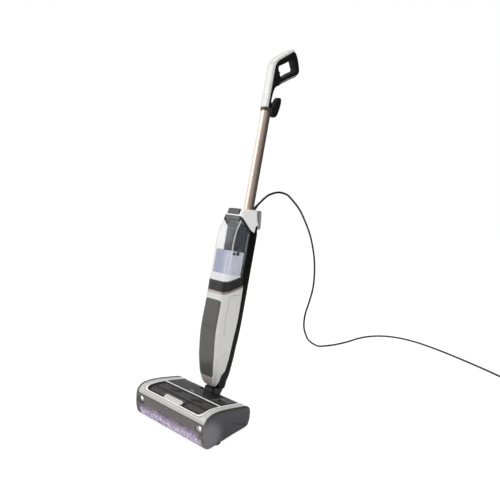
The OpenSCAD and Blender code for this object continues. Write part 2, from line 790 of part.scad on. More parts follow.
module strainer() color([0.95, 0.95, 0.96]) upright() difference() {
  strainer_block(4, 0);
  strainer_block(6, 2);
  for (x = [-24:12:24]) for (y = [-46:12:-20]) translate([x, y, filter_z - 39]) cylinder(r = 3, h = 60);
}
module strainer_block(inset, drop) intersection() {
  pod(inset);
  across(-42 + inset, 42 - inset) polygon([[-70, band_at(-70) + band_h + tank_wall + 2 * gap - 2 * drop],
    [0 - drop, band_at(0 - drop) + band_h + tank_wall + 2 * gap - 2 * drop], [0 - drop, filter_z - gap - drop],
    [-70, filter_z - gap - drop]]);
}

module float() color([0.12, 0.14, 0.2]) upright() {
  translate([12, -22, sieve_z - 24]) cylinder(r = 9, h = 15);
  translate([12, -22, sieve_z - 10]) cylinder(r = 3.5, h = 9);
  translate([12, -22, filter_z + 2 + gap]) cylinder(r = 2, h = sieve_z - filter_z - 25);
}

// ---------------------------------------------------------------- clean water tank
module clean_tank() color([0.1, 0.1, 0.11]) upright() difference() {
  intersection() {
    pod(0.2);
    translate([-bay_x + gap, bay_y + gap, bay_z[0] + gap])
      cube([2 * bay_x - 2 * gap, 60, bay_z[1] - bay_z[0] - 2 * gap]);
  }
  intersection() {
    pod(0.2 + tank_wall);
    translate([-bay_x + gap + tank_wall, bay_y + gap + tank_wall, bay_z[0] + gap + tank_wall])
      cube([2 * (bay_x - gap - tank_wall), 60, bay_z[1] - bay_z[0] - 2 * gap - 2 * tank_wall]);
  }
  translate([0, bay_y + 20, bay_z[1] - 26]) rotate([-90, 0, 0]) cylinder(r = 12 + run, h = 20);
}

module clean_cap() color([0.3, 0.3, 0.32]) upright()
  translate([0, bay_y + 24, bay_z[1] - 26]) rotate([-90, 0, 0]) {
    cylinder(r = 12, h = 6);
    translate([-9, -1.5, 6]) cube([18, 3, 3]);
  }

// ---------------------------------------------------------------- works inside the body
module suction_motor() color([0.6, 0.6, 0.62]) upright() translate([0, -18, motor_z]) {
  difference() {
    cylinder(r = 33, h = 76);
    translate([0, 0, 2]) cylinder(r = 31, h = 72);
  }
  cylinder(r = 19, h = 70);
  cylinder(r = 4, h = 86);
}

module motor_fan() color([0.85, 0.85, 0.87]) upright() translate([0, -18, motor_z + 79]) difference() {
  union() {
    cylinder(r = 30, h = 1.6);
    cylinder(r = 8, h = 9);
    for (a = [0:45:315]) rotate([0, 0, a]) translate([6, -0.8, 1]) cube([22, 1.6, 7]);
  }
  translate([0, 0, -1]) cylinder(r = 4 + run, h = 12);
}

module pump() color([0.45, 0.46, 0.5]) upright() {
  translate([-20, -24, pump_z]) cube([40, 26, 40]);
  translate([0, -11, pump_z + 40]) cylinder(r = 4, h = 12);
}

module control_board() color([0.08, 0.3, 0.16]) upright() {
  translate([-24, board_y, board_z]) cube([48, 1.6, 42]);
  translate([-16, board_y - 3, board_z + 8]) cube([12, 3.1, 10]);
  translate([4, board_y - 3, board_z + 22]) cube([12, 3.1, 12]);
}

// ---------------------------------------------------------------- tube and handle
module tube() color([0.76, 0.66, 0.6]) upright() translate([0, tube_y, tube_z]) difference() {
  cylinder(r = tube_r, h = collar_z + 7 - tube_z);
  translate([0, 0, -1]) cylinder(r = tube_r - tube_wall, h = collar_z + 20 - tube_z);
}

module tube_collar() color([0.1, 0.1, 0.1]) upright() translate([0, tube_y, collar_z - 2]) difference() {
  cylinder(r = tube_r + 3, h = 10 - gap);
  translate([0, 0, -1]) cylinder(r = tube_r + 0.02, h = 12);
}

module handle_shell() color([0.93, 0.93, 0.92]) upright() difference() {
  intersection() {
    grip_solid();
    across(-40, 40) polygon(to_collar(skin_line));
  }
  translate([0, 0, -0.01]) grip_solid(3);
}

module handle_grip() color([0.04, 0.04, 0.04]) upright() {
  difference() {
    grip_solid();
    across(-40, 40) offset(delta = 0.15) polygon(to_collar(skin_line));
    grip_solid(3);
    for (x = [-6, 6]) button_place(x) translate([0, 0, -6]) cylinder(r = 4 + run, h = 16);
  }
  // plug that stands in the top of the tube
  translate([0, tube_y, collar_z - 20]) cylinder(r = tube_r - tube_wall - 0.02, h = 28 - gap);
  translate([-9, 20.6, collar_z + 4]) cube([18, 4.2, 24]);
}

module handle_trim() color([0.7, 0.68, 0.66]) upright() across(-handle_w / 2 + 1, handle_w / 2 - 1)
  polygon(to_collar([[52, 995.26], [118, 1049.8], [119.3, 1048.3], [53.3, 993.7]]));

module upper_hook() color([0.04, 0.04, 0.04]) upright() across(-9, 9)
  offset(r = 3) offset(delta = -3) polygon(to_collar([[25.3, 912.2], [26.6, 944], [33, 938], [39, 927],
    [50, 925], [56, 934], [60, 957], [66, 962], [74, 959], [77, 950], [68, 903], [58, 893], [50, 893],
    [45, 900], [45, 912.2]]));

module power_button() color([0.5, 0.5, 0.52]) upright() button_place(-6) translate([0, 0, -9]) cylinder(r = 4, h = 10.5);
module mode_button() color([0.3, 0.3, 0.32]) upright() button_place(6) translate([0, 0, -9]) cylinder(r = 4, h = 10.5);

module lower_hook() color([0.35, 0.35, 0.36]) upright() {
  translate([0, pod_rear - 8, hook_z]) rotate([-90, 0, 0]) cylinder(r = 8, h = 14);
  across(-19, 19) translate([pod_rear, hook_z]) offset(r = 2) offset(delta = -2) polygon([[1.5, -19],
    [26, -19], [30, -12], [19, 41], [12, 43], [10, 37], [14, -5], [10, -7], [1.5, 19]]);
}

// ---------------------------------------------------------------- mains cord
module cord_gland() color([0.05, 0.05, 0.05]) {
  upright() translate(cord_exit - [0, 0, 22]) cylinder(r = 5 - 0.02, h = 22);
  translate(up_pt(cord_exit)) rotate([-54.4, 0, 0]) translate([0, 0, -1]) cylinder(r1 = 5.5, r2 = 4.2, h = 21);
}

module cord() color([0.08, 0.08, 0.08]) sweep(path(cord_route, 2), cord_d / 2, 8);

module cord_coil() color([0.08, 0.08, 0.08]) translate([coil_at[0], coil_at[1], 0.2])
  rotate_extrude($fn = 64) translate([coil_out - coil_t + 1, 0]) offset(r = 6, $fn = 16) offset(delta = -6)
    square([coil_t - 1, coil_t - 1]);

module plug() color([0.06, 0.06, 0.06]) translate([plug_at[0], plug_at[1], 0]) {
  translate([-14, 34, 0.2]) cube([28, 30, 22]);
  for (x = [-6.5, 6.5]) translate([x - 0.8, 62, 8]) cube([1.6, 20, 6.4]);
  translate([0, 4, 11]) rotate([-90, 0, 0]) cylinder(r1 = 4.5, r2 = 7, h = 31);
}

chassis();
side_covers();
brush_lens();
bezel();
brush_window();
release_tab();
rear_deck();
deck_seam();
deck_pedal();
headlight_housings();
headlight_lamps();
spray_nozzles();
squeegee();
skid_feet();
suction_duct();
head_screws();
roller_core();
roller_pile();
roller_pulley();
brush_motor();
motor_pulley();
drive_belt();
left_wheel();
right_wheel();
wheel_axles();
hinge_pin();
neck_elbow();
lower_shell();
front_panel();
lower_trim();
upper_trim();
mid_band();
spine();
shoulder();
dirty_tank();
tank_lid();
separator();
filter_housing();
strainer();
float();
tank_latch();
clean_tank();
clean_cap();
suction_motor();
motor_fan();
pump();
control_board();
tube();
tube_collar();
handle_shell();
handle_grip();
handle_trim();
upper_hook();
lower_hook();
power_button();
mode_button();
cord_gland();
cord();
cord_coil();
plug();
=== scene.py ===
import json
import math
import bpy
import numpy as np
from mathutils import Matrix, Vector


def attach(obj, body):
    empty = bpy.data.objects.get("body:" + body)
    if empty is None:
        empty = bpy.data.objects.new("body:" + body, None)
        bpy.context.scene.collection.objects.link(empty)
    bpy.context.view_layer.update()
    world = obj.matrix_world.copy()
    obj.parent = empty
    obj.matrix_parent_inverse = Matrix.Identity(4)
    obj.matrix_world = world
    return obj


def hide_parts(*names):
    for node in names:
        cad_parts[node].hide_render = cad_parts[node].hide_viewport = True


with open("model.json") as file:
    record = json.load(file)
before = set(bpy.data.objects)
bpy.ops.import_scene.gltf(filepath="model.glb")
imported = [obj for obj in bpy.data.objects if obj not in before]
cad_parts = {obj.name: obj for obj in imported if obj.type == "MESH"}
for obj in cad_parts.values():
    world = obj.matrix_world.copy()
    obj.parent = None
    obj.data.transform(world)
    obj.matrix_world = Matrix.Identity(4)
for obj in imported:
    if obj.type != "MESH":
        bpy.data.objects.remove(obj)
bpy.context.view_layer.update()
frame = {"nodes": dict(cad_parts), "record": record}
cad = frame["nodes"]
body_of = {node: body for body, members in frame["record"]["behaviour"]["bodies"].items() for node in members}

# ---------------------------------------------------------------- camera
# One plain camera in front of the machine's right side, a little above the handle's middle.
CAMERA_AT = (1.0292, -0.9489, 0.7804)
turn, dip, roll = (math.radians(a) for a in (41.0, 10.57, 1.14))
ahead = np.array([-math.sin(turn) * math.cos(dip), math.cos(turn) * math.cos(dip), -math.sin(dip)])
right = np.array([math.cos(turn), math.sin(turn), 0.0])
above = np.cross(right, ahead)
cam_x = right * math.cos(roll) + above * math.sin(roll)
cam_y = above * math.cos(roll) - right * math.sin(roll)
scene = bpy.context.scene
camera = bpy.data.objects.new("camera", bpy.data.cameras.new("camera"))
camera.data.sensor_width, camera.data.lens, camera.data.clip_start = 36, 36, 0.01
camera.matrix_world = Matrix([[*map(float, row), 0] for row in np.array([cam_x, cam_y, -ahead]).T]
                             + [[0, 0, 0, 1]])
camera.location = CAMERA_AT
scene.collection.objects.link(camera)
scene.camera = camera
scene.view_settings.view_transform = "Standard"

# ---------------------------------------------------------------- studio
# A white sweep of floor that keeps the machine's shadow, a white room, and three soft lamps: each
# has its place, its size and its watts. The side lamp makes no highlights.
LAMPS = {"key": ((-1.7, -2.3, 2.3), 2.0, 46), "side": ((2.5, -0.7, 1.5), 1.4, 13),
         "top": ((0.2, 0.6, 2.9), 2.2, 26)}
LAMP_AIM = Vector((0.0, 0.12, 0.45))


def node_tree(holder, empty=True):
    """A material's or the world's node tree, emptied unless told not to, and a short way to add nodes."""
    holder.use_nodes = True
    tree = holder.node_tree
    if empty:
        tree.nodes.clear()

    def add(kind, **sockets):
        """Adds a node. A key is one of its settings, or a socket: _2 is the one of that number, other keys
        are names. A value that is a socket is joined to it."""
        node = tree.nodes.new("ShaderNode" + kind)
        for key, value in sockets.items():
            if hasattr(node, key):
                setattr(node, key, value)
            else:
                socket = node.inputs[int(key[1:]) if key[0] == "_" else key.replace("_", " ")]
                if isinstance(value, bpy.types.NodeSocket):
                    tree.links.new(value, socket)
                else:
                    socket.default_value = value
        return node
    return tree, add


def maths(add, kind, *values):
    """The outcome of one sum of up to three values."""
    return add("Math", operation=kind, **{f"_{i}": value for i, value in enumerate(values)}).outputs[0]


def fade(add, value, start, end, low=0.0, high=1.0):
    """Runs evenly from low to high while the value runs from start to end."""
    return add("MapRange", Value=value, _1=start, _2=end, _3=low, _4=high).outputs[0]


def seen_straight(add, path):
    """1 for what the camera sees, straight or through clear parts, else 0."""
    return maths(add, "MAXIMUM", path.outputs["Is Camera Ray"], path.outputs["Is Transmission Ray"])


# mirrored room: white from the left front and from above, grey behind and to the right
scene.world = bpy.data.worlds.new("white room")
tree, add = node_tree(scene.world)
path = add("LightPath")
x, y, z = add("SeparateXYZ", Vector=add("TexCoord").outputs["Generated"]).outputs
left = fade(add, x, 0.15, -0.95, 0.04, fade(add, y, 0.75, 0.1, 0.5, 1.0))
room = maths(add, "MAXIMUM", left, fade(add, z, 0.1, 0.9, 0.0, 0.75))
shiny = add("Mix", data_type="FLOAT", Factor=path.outputs["Is Glossy Ray"], _2=0.5, _3=room)
strength = add("Mix", data_type="FLOAT", Factor=seen_straight(add, path), _2=shiny.outputs[0], _3=1.0)
sky = add("Background", Color=(1, 1, 1, 1), Strength=strength.outputs[0])
add("OutputWorld", Surface=sky.outputs[0])

for lamp_name, (place, size, watts) in LAMPS.items():
    lamp = bpy.data.objects.new(lamp_name, bpy.data.lights.new(lamp_name, "AREA"))
    lamp.data.size, lamp.data.energy = size, watts
    lamp.location = place
    lamp.visible_glossy = lamp_name != "side"
    lamp.rotation_euler = (LAMP_AIM - Vector(place)).to_track_quat("-Z", "Y").to_euler()
    scene.collection.objects.link(lamp)


def stage_sheet(name, corners, faces):
    """A flat part of the studio: returns it, and the way to add nodes to its paint."""
    mesh = bpy.data.meshes.new(name)
    mesh.from_pydata(corners, [], faces)
    sheet = bpy.data.objects.new(name, mesh)
    scene.collection.objects.link(sheet)
    mesh.materials.append(bpy.data.materials.new(name + " paint"))
    return sheet, node_tree(mesh.materials[0])[1]


add = stage_sheet("floor", [(-30, -30, 0), (30, -30, 0), (30, 30, 0), (-30, 30, 0)], [(0, 1, 2, 3)])[1]
plain = add("BsdfDiffuse", Color=(0.8, 0.8, 0.8, 1))
white = add("Emission", Color=(1, 1, 1, 1), Strength=1.4)
share = maths(add, "MULTIPLY", seen_straight(add, add("LightPath")), 0.62)
both = add("MixShader", _0=share, _1=plain.outputs[0], _2=white.outputs[0])
add("OutputMaterial", Surface=both.outputs[0])

# a black card behind the machine on the right, seen in gloss alone: it darkens the far edge of metal
# and clear parts
CARD_FOOT, CARD_HEIGHTS = ((1.2, 0.2), (0.95, 1.0), (-0.45, 1.4)), (0.01, 2)
card, add = stage_sheet("card", [(x, y, z) for x, y in CARD_FOOT for z in CARD_HEIGHTS],
                        [(0, 2, 3, 1), (2, 4, 5, 3)])
card.visible_camera = card.visible_diffuse = card.visible_transmission = card.visible_shadow = False
add("OutputMaterial", Surface=add("BsdfDiffuse", Color=(0.01, 0.01, 0.01, 1)).outputs[0])

# ---------------------------------------------------------------- mains cord
# A 7 mm black flexible mains lead: out of its strain relief at the body's shoulder, down behind the
# machine, along the floor, and the rest wound into a neat coil that ends in a moulded plug.
MM = 0.001
CORD_D = 7.0
LEAN = math.radians(13.7)
PIVOT = np.array([0.0, 60.0, 50.0])
CORD_EXIT = (24, 22, 592)
GLAND_WAY = np.array([0, 0.813, 0.582])
FLOOR_Z = CORD_D / 2 + 0.3
# the lead's way as (x, y, z) from the shoulder to the floor, then as (x, y) on the floor; the coil's
# middle; and the cord's end, inside the plug's tail
ROUTE = [(21.4, 262, 644), (17.6, 281, 652), (13.4, 312, 661.6), (7, 363, 666), (1.5, 408, 659),
         (-2.6, 441, 646), (-11.3, 510, 601), (-17, 556, 555.6), (-23.6, 608, 489.6), (-28, 643, 414),
         (-29.5, 655, 352.7), (-28.8, 650, 284), (-25, 621, 230), (-21.6, 592, 187), (-21, 586, 137),
         (-24.4, 614, 86.6), (-28, 643, 60.4), (-32, 678, 38), (-37, 722, 16), (-34, 768, FLOOR_Z + 1.2)]
ON_FLOOR = [(-12, 815), (8, 880), (22, 950), (48, 1010), (95, 1058), (160, 1082), (240, 1082), (330, 1062),
            (430, 1030), (530, 992), (590, 966), (628, 950)]
COIL_AT = (666.0, 1006.0)
CORD_END = (732.5, 1014, 10.9)
# each turn of the coil as (distance from the coil's middle, height), laid in this order
TURNS = [(66.5, 3.8), (59.5, 3.8), (52.5, 3.8), (45.5, 3.8), (45.5, 10.8), (45.5, 17.8), (45.5, 24.8),
         (52.5, 24.8), (59.5, 24.8), (66.5, 24.8), (66.5, 17.8), (59.5, 17.8), (52.5, 17.8), (52.5, 10.8),
         (59.5, 10.8), (66.5, 10.8)]


def leaned(points):
    """Points of the upright's own frame (millimetres, Z up its axis from the recline pin) in the machine's
    frame: the frame is turned back by the lean about the pin."""
    p = np.asarray(points, float)
    out = np.empty_like(p)
    out[..., 0] = p[..., 0]
    out[..., 1] = PIVOT[1] + p[..., 1] * math.cos(LEAN) + p[..., 2] * math.sin(LEAN)
    out[..., 2] = PIVOT[2] - p[..., 1] * math.sin(LEAN) + p[..., 2] * math.cos(LEAN)
    return out


def smooth_through(points, steps):
    """A Catmull-Rom curve through the points, with that many steps between each two of them."""
    p = np.asarray(points, float)
    q = np.vstack([p[:1], p, p[-1:]])
    a, b, c, d = (q[i:len(p) - 1 + i, None, :] for i in range(4))
    t = (np.arange(steps) / steps)[None, :, None]
    curve = 0.5 * (2 * b + (c - a) * t + (2 * a - 5 * b + 4 * c - d) * t ** 2
                   + (3 * b - a - 3 * c + d) * t ** 3)
    return np.vstack([curve.reshape(-1, p.shape[1]), p[-1:]])


def coil_line():
    """The wound part: the angle runs on from 247 degrees, and each turn eases over to the next one's radius
    and height within 60 degrees, a sixth of a turn earlier at every corner of the stack, so no two turns
    meet."""
    start, end, ease_over = math.radians(247), math.radians(360) + 2 * math.pi * 14, math.radians(60)
    slot = np.array(TURNS)
    step = np.diff(slot, axis=0)
    corner = np.abs(np.diff(np.sign(step), axis=0)).sum(1) > 0
    early = np.concatenate([[0], np.cumsum(corner)]) * ease_over
    ends = start + 2 * math.pi * (np.arange(len(step)) + 1) - early
    angle = np.append(np.arange(start, end, math.radians(6)), end)
    t = np.clip((angle[:, None] - ends[None, :]) / ease_over + 1, 0, 1)
    ease = t * t * (3 - 2 * t)
    radius = slot[0, 0] + (ease * step[:, 0]).sum(1)
    height = slot[0, 1] + (ease * step[:, 1]).sum(1)
    return np.stack([COIL_AT[0] + radius * np.cos(angle), COIL_AT[1] + radius * np.sin(angle), height], 1)


def circle(sides):
    """Even angles once round, as a row."""
    return np.linspace(0, 2 * np.pi, sides, endpoint=False)[None, :]


def rings_along(line, radius, sides):
    """A tube: a circle of the given radius (one number, or one for each point) stands square to the line at
    each point. Its first axis is square to the line and to one fixed slanting direction."""
    line = np.asarray(line, float)
    ahead = np.gradient(line, axis=0)
    ahead /= np.linalg.norm(ahead, axis=1, keepdims=True)
    side = np.cross(ahead, (0.13, 0.21, 1.0))
    side /= np.linalg.norm(side, axis=1, keepdims=True)
    other = np.cross(side, ahead)
    a = circle(sides)[..., None]
    r = np.broadcast_to(np.asarray(radius, float), (len(line),))[:, None, None]
    return line[:, None, :] + r * (np.cos(a) * side[:, None, :] + np.sin(a) * other[:, None, :])


def dome(points):
    """Closes both ends of a tube: each end ring drawn together to its middle."""
    first, last = points[:1].mean(1, keepdims=True), points[-1:].mean(1, keepdims=True)
    n = points.shape[1]
    return np.concatenate([np.repeat(first, n, 1), points, np.repeat(last, n, 1)])


def sleeve(points, keep=None):
    """A tube with its ends as they are, in the form that build takes."""
    return points, True, keep


def solid(points, keep=None):
    """A tube with closed ends, in the form that build takes."""
    return sleeve(dome(points), keep)


def build(name, *grids, sharp=35):
    """Makes one mesh of several grids of points in millimetres. A plain array is an open sheet. In (points,
    wrap, keep) wrap says whether the second direction closes on itself, and keep marks the cells that stay.
    Doubles are merged, so that a row drawn together to one point closes."""
    verts, faces, start = [], [], 0
    for grid in grids:
        points, wrap, keep = grid if isinstance(grid, tuple) else (grid, False, None)
        points = np.asarray(points, float)
        m, n = points.shape[:2]
        index = np.arange(m * n).reshape(m, n) + start
        if wrap:
            index = np.hstack([index, index[:, :1]])
        quads = np.stack([index[:-1, :-1], index[1:, :-1], index[1:, 1:], index[:-1, 1:]], -1)
        if keep is not None:
            quads = quads[keep]
        faces.append(quads.reshape(-1, 4))
        verts.append(points.reshape(-1, 3))
        start += m * n
    verts, faces = np.vstack(verts) * MM, np.vstack(faces)
    key = np.round(verts / 2e-6).astype(np.int64)
    _, first, back = np.unique(key, axis=0, return_index=True, return_inverse=True)
    verts, faces = verts[first], back.reshape(-1)[faces]
    loops = [list(dict.fromkeys(f)) for f in faces.tolist()]
    used = np.zeros(len(verts), bool)
    used[faces] = True
    renumber = np.cumsum(used) - 1
    mesh = bpy.data.meshes.new(name)
    mesh.from_pydata(verts[used].tolist(), [], [[int(renumber[i]) for i in f] for f in loops if len(f) > 2])
    mesh.shade_smooth()
    mesh.set_sharp_from_angle(angle=math.radians(sharp))
    piece = bpy.data.objects.new(name, mesh)
    scene.collection.objects.link(piece)
    return piece


def finish(slot, colour, rough, metal=0.0, coat=0.0, alpha=1.0, mottle=0.08, patch=28.0, grain=0.06,
           grain_size=900.0, specular=0.5):
    """A moulded, cast or painted finish: one Principled shader on Object coordinates. Broad soft noise shifts
    the colour and the roughness a little, and a fine noise of that many grains a metre gives the surface its
    tooth."""
    paint = bpy.data.materials.new(slot)
    tree, add = node_tree(paint)
    where = add("TexCoord").outputs["Object"]
    broad = add("TexNoise", Vector=where, Scale=patch, Detail=3.0).outputs[0]
    dark = [c * (1 - mottle) for c in colour] + [1]
    pale = [min(1, c * (1 + mottle)) for c in colour] + [1]
    tint = add("Mix", data_type="RGBA", _0=broad, _6=dark, _7=pale)
    dull = fade(add, broad, 0.3, 0.7, max(0.02, rough - 0.04), rough + 0.04)
    shader = add("BsdfPrincipled", Metallic=metal, Alpha=alpha, Coat_Weight=coat, Coat_Roughness=0.08,
                 Base_Color=tint.outputs[2], Roughness=dull, Specular_IOR_Level=specular)
    if grain:
        fine = add("TexNoise", Vector=where, Scale=grain_size, Detail=2.0).outputs[0]
        tooth = add("Bump", Height=fine, Strength=grain, Distance=0.0004)
        tree.links.new(tooth.outputs[0], shader.inputs["Normal"])
    add("OutputMaterial", Surface=shader.outputs[0])
    return paint


def dress(piece, paint, node, wall=0.0, edge=0.0):
    """Gives a new piece its finish, lets it ride with the body of the CAD node that it stands for, and hides
    that node. Where asked, the skin gets its wall inwards and its edges are rounded."""
    piece.data.materials.append(paint)
    nodes = node if isinstance(node, list) else [node]
    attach(piece, body_of[nodes[0]])
    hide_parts(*nodes)
    if wall:
        shell = piece.modifiers.new("wall", "SOLIDIFY")
        shell.thickness, shell.offset, shell.use_even_offset = wall * MM, -1, True
        shell.thickness_clamp = 0.9
    if edge:
        bevel = piece.modifiers.new("edge", "BEVEL")
        bevel.width, bevel.segments, bevel.limit_method = edge * MM, 2, "ANGLE"
        bevel.angle_limit, bevel.harden_normals = math.radians(50), True
    return piece


def repaint(paint, *nodes):
    """Puts a finish on CAD nodes whose shape is kept."""
    for node in nodes:
        cad[node].data.materials.clear()
        cad[node].data.materials.append(paint)


black_cord = finish("black_cord", (0.012, 0.012, 0.013), 0.42, mottle=0.15, patch=60, grain=0.1,
                    grain_size=500)
black_rubber = finish("black_rubber", (0.014, 0.014, 0.014), 0.6, grain=0.2, grain_size=700)
black_plastic = finish("black_plastic", (0.011, 0.011, 0.012), 0.42, grain=0.14, grain_size=1400)

exit_point = leaned(CORD_EXIT) + 20 * GLAND_WAY
lead = smooth_through([exit_point, exit_point + 8 * GLAND_WAY, *ROUTE,
                       *((x, y, FLOOR_Z) for x, y in ON_FLOOR)], 8)
lead[:, 2] = np.maximum(lead[:, 2], FLOOR_Z)
cord_line = np.vstack([lead, coil_line(), CORD_END])
cord = build("mains_cord", solid(rings_along(cord_line, CORD_D / 2, 12)), sharp=60)
dress(cord, black_cord, ["cord", "cord_coil"])

# strain relief: a ribbed rubber cone, thickest where it leaves the shoulder, on a stub in the wall
reach = np.linspace(-1, 20, 43)
ribs = 0.35 * (np.sin((reach - 1) * 2 * np.pi / 3.2) > 0) * (reach > 2) * (reach < 19)
cone = np.interp(reach, [-1, 20], [4.9, 3.8]) + ribs
stub = leaned([(*CORD_EXIT[:2], z) for z in (570.2, 571, 591.9, 592.0)])
gland = build("cord_strain_relief",
              solid(rings_along(leaned(CORD_EXIT) + reach[:, None] * GLAND_WAY, cone, 32)),
              solid(rings_along(stub, [4.4, 4.95, 4.95, 4.9], 32)))
dress(gland, black_rubber, "cord_gland")


def soft(wave, power):
    """The wave's size drawn towards 1, its sign kept: a circle's waves give a superellipse of that power."""
    return np.sign(wave) * np.abs(wave) ** (2 / power)


def soft_block(centre, half, sides=48, power=5.0, rows=25):
    """A block with rounded edges and corners: a superquadric, its rows at even angles from pole to pole."""
    lat, lon = np.linspace(-np.pi / 2, np.pi / 2, rows)[:, None], circle(sides)
    x = soft(np.cos(lat), power) * soft(np.cos(lon), power)
    y = soft(np.sin(lat), power) * np.ones_like(lon)
    z = soft(np.cos(lat), power) * soft(np.sin(lon), power)
    return np.stack([x, y, z], -1) * half + centre


# plug: a moulded two-pin body with soft edges, thumb grooves on its flanks and a ribbed, tapered tail
shift = np.array([COIL_AT[0] + TURNS[0][0], COIL_AT[1], 0])
plug_body = soft_block((0.0, 49, 11.2), (14.0, 15, 11.0))
plug_body[..., 0] *= 1 - 0.14 * np.exp(-((plug_body[..., 1] - 52) / 5) ** 2) * (np.abs(plug_body[..., 0]) > 6)
tail_y = np.linspace(4, 36, 49)
ribs = 0.5 * (np.sin((tail_y - 8) * 2 * np.pi / 4) > 0) * (tail_y > 8) * (tail_y < 30)
tail_r = np.interp(tail_y, [4, 36], [4.4, 7]) + ribs
tail_line = np.stack([np.zeros(49), tail_y, np.full(49, 11.0)], 1)
plug = build("mains_plug", sleeve(plug_body + shift), solid(rings_along(tail_line + shift, tail_r, 32)))
dress(plug, black_plastic, "plug")
plug_pins = build("plug_pins", *[sleeve(soft_block((x, 72, 11.2), (0.8, 10, 3.2), 24, 8.0, 13) + shift)
                                 for x in (-6.5, 6.5)])
bright_steel = finish("bright_steel", (0.6, 0.6, 0.61), 0.25, metal=1.0, grain=0.05)
dress(plug_pins, bright_steel, "plug")

# ---------------------------------------------------------------- roller
# The washing roller: a grey tube with journals, under a soft pile of white and lilac microfibre
# that is wound on in a low spiral; a toothed wheel on its left end is driven by the belt.
ROLLER_Y, ROLLER_Z, PILE_R = -62.0, 32.0, 30.5
LILACS = [(0.2, 0.1, 0.3), (0.4, 0.26, 0.52), (0.6, 0.46, 0.7), (0.9, 0.85, 0.95)]


def tufts(add, where, shades):
    """Tufts 3 mm wide, each a Voronoi cell with its own one of the given shades: returns the colour, and the
    distance from the tuft's middle."""
    cells = add("TexVoronoi", Vector=where, Scale=330.0)
    own = add("SeparateColor", Color=cells.outputs["Color"]).outputs[0]
    level = maths(add, "ADD", own, add("TexNoise", Vector=where, Scale=90.0, Detail=4.0).outputs[0])
    ramp = add("ValToRGB", _0=fade(add, level, 0.35, 1.25))
    stops = ramp.color_ramp.elements
    while len(stops) < len(shades):
        stops.new(0.5)
    for i, shade in enumerate(shades):
        stops[i].position, stops[i].color = i / (len(shades) - 1), (*shade, 1)
    return ramp.outputs[0], cells.outputs["Distance"]


def pile_finish():
    """Soft pile: lilac tufts with a few dark stains, and a velvet sheen on top."""
    paint = bpy.data.materials.new("lilac_pile")
    add = node_tree(paint)[1]
    where = add("TexCoord").outputs["Object"]
    colour, depth = tufts(add, where, LILACS)
    stain = fade(add, add("TexNoise", Vector=where, Scale=22.0, Detail=2.0).outputs[0], 0.62, 0.72)
    hue = add("Mix", data_type="RGBA", _0=stain, _6=colour, _7=(0.12, 0.06, 0.16, 1))
    bump = add("Bump", Height=depth, Strength=0.5, Distance=0.0008)
    shader = add("BsdfPrincipled", Base_Color=hue.outputs[2], Roughness=0.9, Sheen_Weight=0.15,
                 Sheen_Roughness=0.4, Normal=bump.outputs[0])
    add("OutputMaterial", Surface=shader.outputs[0])
    return paint


def pile_skin(rows, around, half):
    """A cylinder whose radius follows rounded tufts on a slanting lattice, worn a little lower in low spiral
    bands; its ends round in over 3 mm."""
    x, a = np.linspace(-half, half, rows)[:, None], circle(around)
    noise = np.random.default_rng(7).normal(0, 1, (rows, around))
    tuft = np.abs(np.sin(a * 40 + x * 0.9)) * np.abs(np.sin(a * 25 - x * 1.25))
    spiral = np.cos(a * 3 + x * 0.06)
    edge = np.clip((half - np.abs(x)) / 3, 0, 1)
    r = PILE_R - 1.9 + 1.3 * tuft + 0.12 * noise + 0.35 * spiral - 3 * (1 - np.sqrt(1 - (1 - edge) ** 2))
    return np.stack([x + 0 * a, ROLLER_Y + r * np.cos(a), ROLLER_Z + r * np.sin(a)], -1)[:, ::-1]


pile = build("lilac_roller_pile", solid(pile_skin(420, 170, 129.3)), sharp=70)
dress(pile, pile_finish(), "roller_pile")
grey_plastic = finish("grey_plastic", (0.085, 0.085, 0.09), 0.3, coat=0.2, grain=0.05)
repaint(grey_plastic, "roller_core")
repaint(black_plastic, "roller_pulley")

# ---------------------------------------------------------------- chassis
# The black moulded tray of the head, with the brush chamber, the wheel arches and the two cheeks
# of the recline hinge; screws, wheels, axles, squeegee, feet and the short duct are fixed to it.
repaint(black_plastic, "chassis", "left_wheel", "right_wheel", "suction_duct")
repaint(black_rubber, "squeegee", "drive_belt")
repaint(bright_steel, "head_screws", "wheel_axles", "hinge_pin", "motor_pulley")
motor_steel = finish("motor_steel", (0.33, 0.34, 0.36), 0.35, metal=0.9, grain=0.08)
repaint(motor_steel, "brush_motor")

# ---------------------------------------------------------------- side covers
# A dark grey semi-gloss plate over each end of the head, dished at its edge, with a flange that
# slides under the white arms; its front lower corner is painted a paler grey, as painted light.
# HEAD_PTS is the head's outline seen from the side, as (y, z), from the low front over the top.
HEAD_PTS = [(-78, 4), (-93, 5), (-102, 14), (-106, 38), (-105, 60), (-103, 74), (-96, 87), (-82, 94.5),
            (-64, 96), (-40, 93.5), (-15, 88.5), (20, 80), (50, 72), (66, 67), (75, 58), (77, 45), (75, 28),
            (69, 14), (58, 8), (0, 7)]
IN_X, OUT_X, WALL_X = 144.3, 147.5, 132.3
outline = smooth_through(HEAD_PTS + HEAD_PTS[:1], 6)[:-1]


def inset_outline(points, inset):
    """A closed outline moved inwards by the inset along the mean of its two edges' normals."""
    step = np.roll(points, -1, 0) - points
    normal = np.stack([-step[:, 1], step[:, 0]], 1)
    normal /= np.linalg.norm(normal, axis=1, keepdims=True)
    normal = normal + np.roll(normal, 1, 0)
    normal /= np.linalg.norm(normal, axis=1, keepdims=True)
    area = np.sum(points[:, 0] * np.roll(points[:, 1], -1) - points[:, 1] * np.roll(points[:, 0], -1))
    return points + normal * inset * np.sign(area)


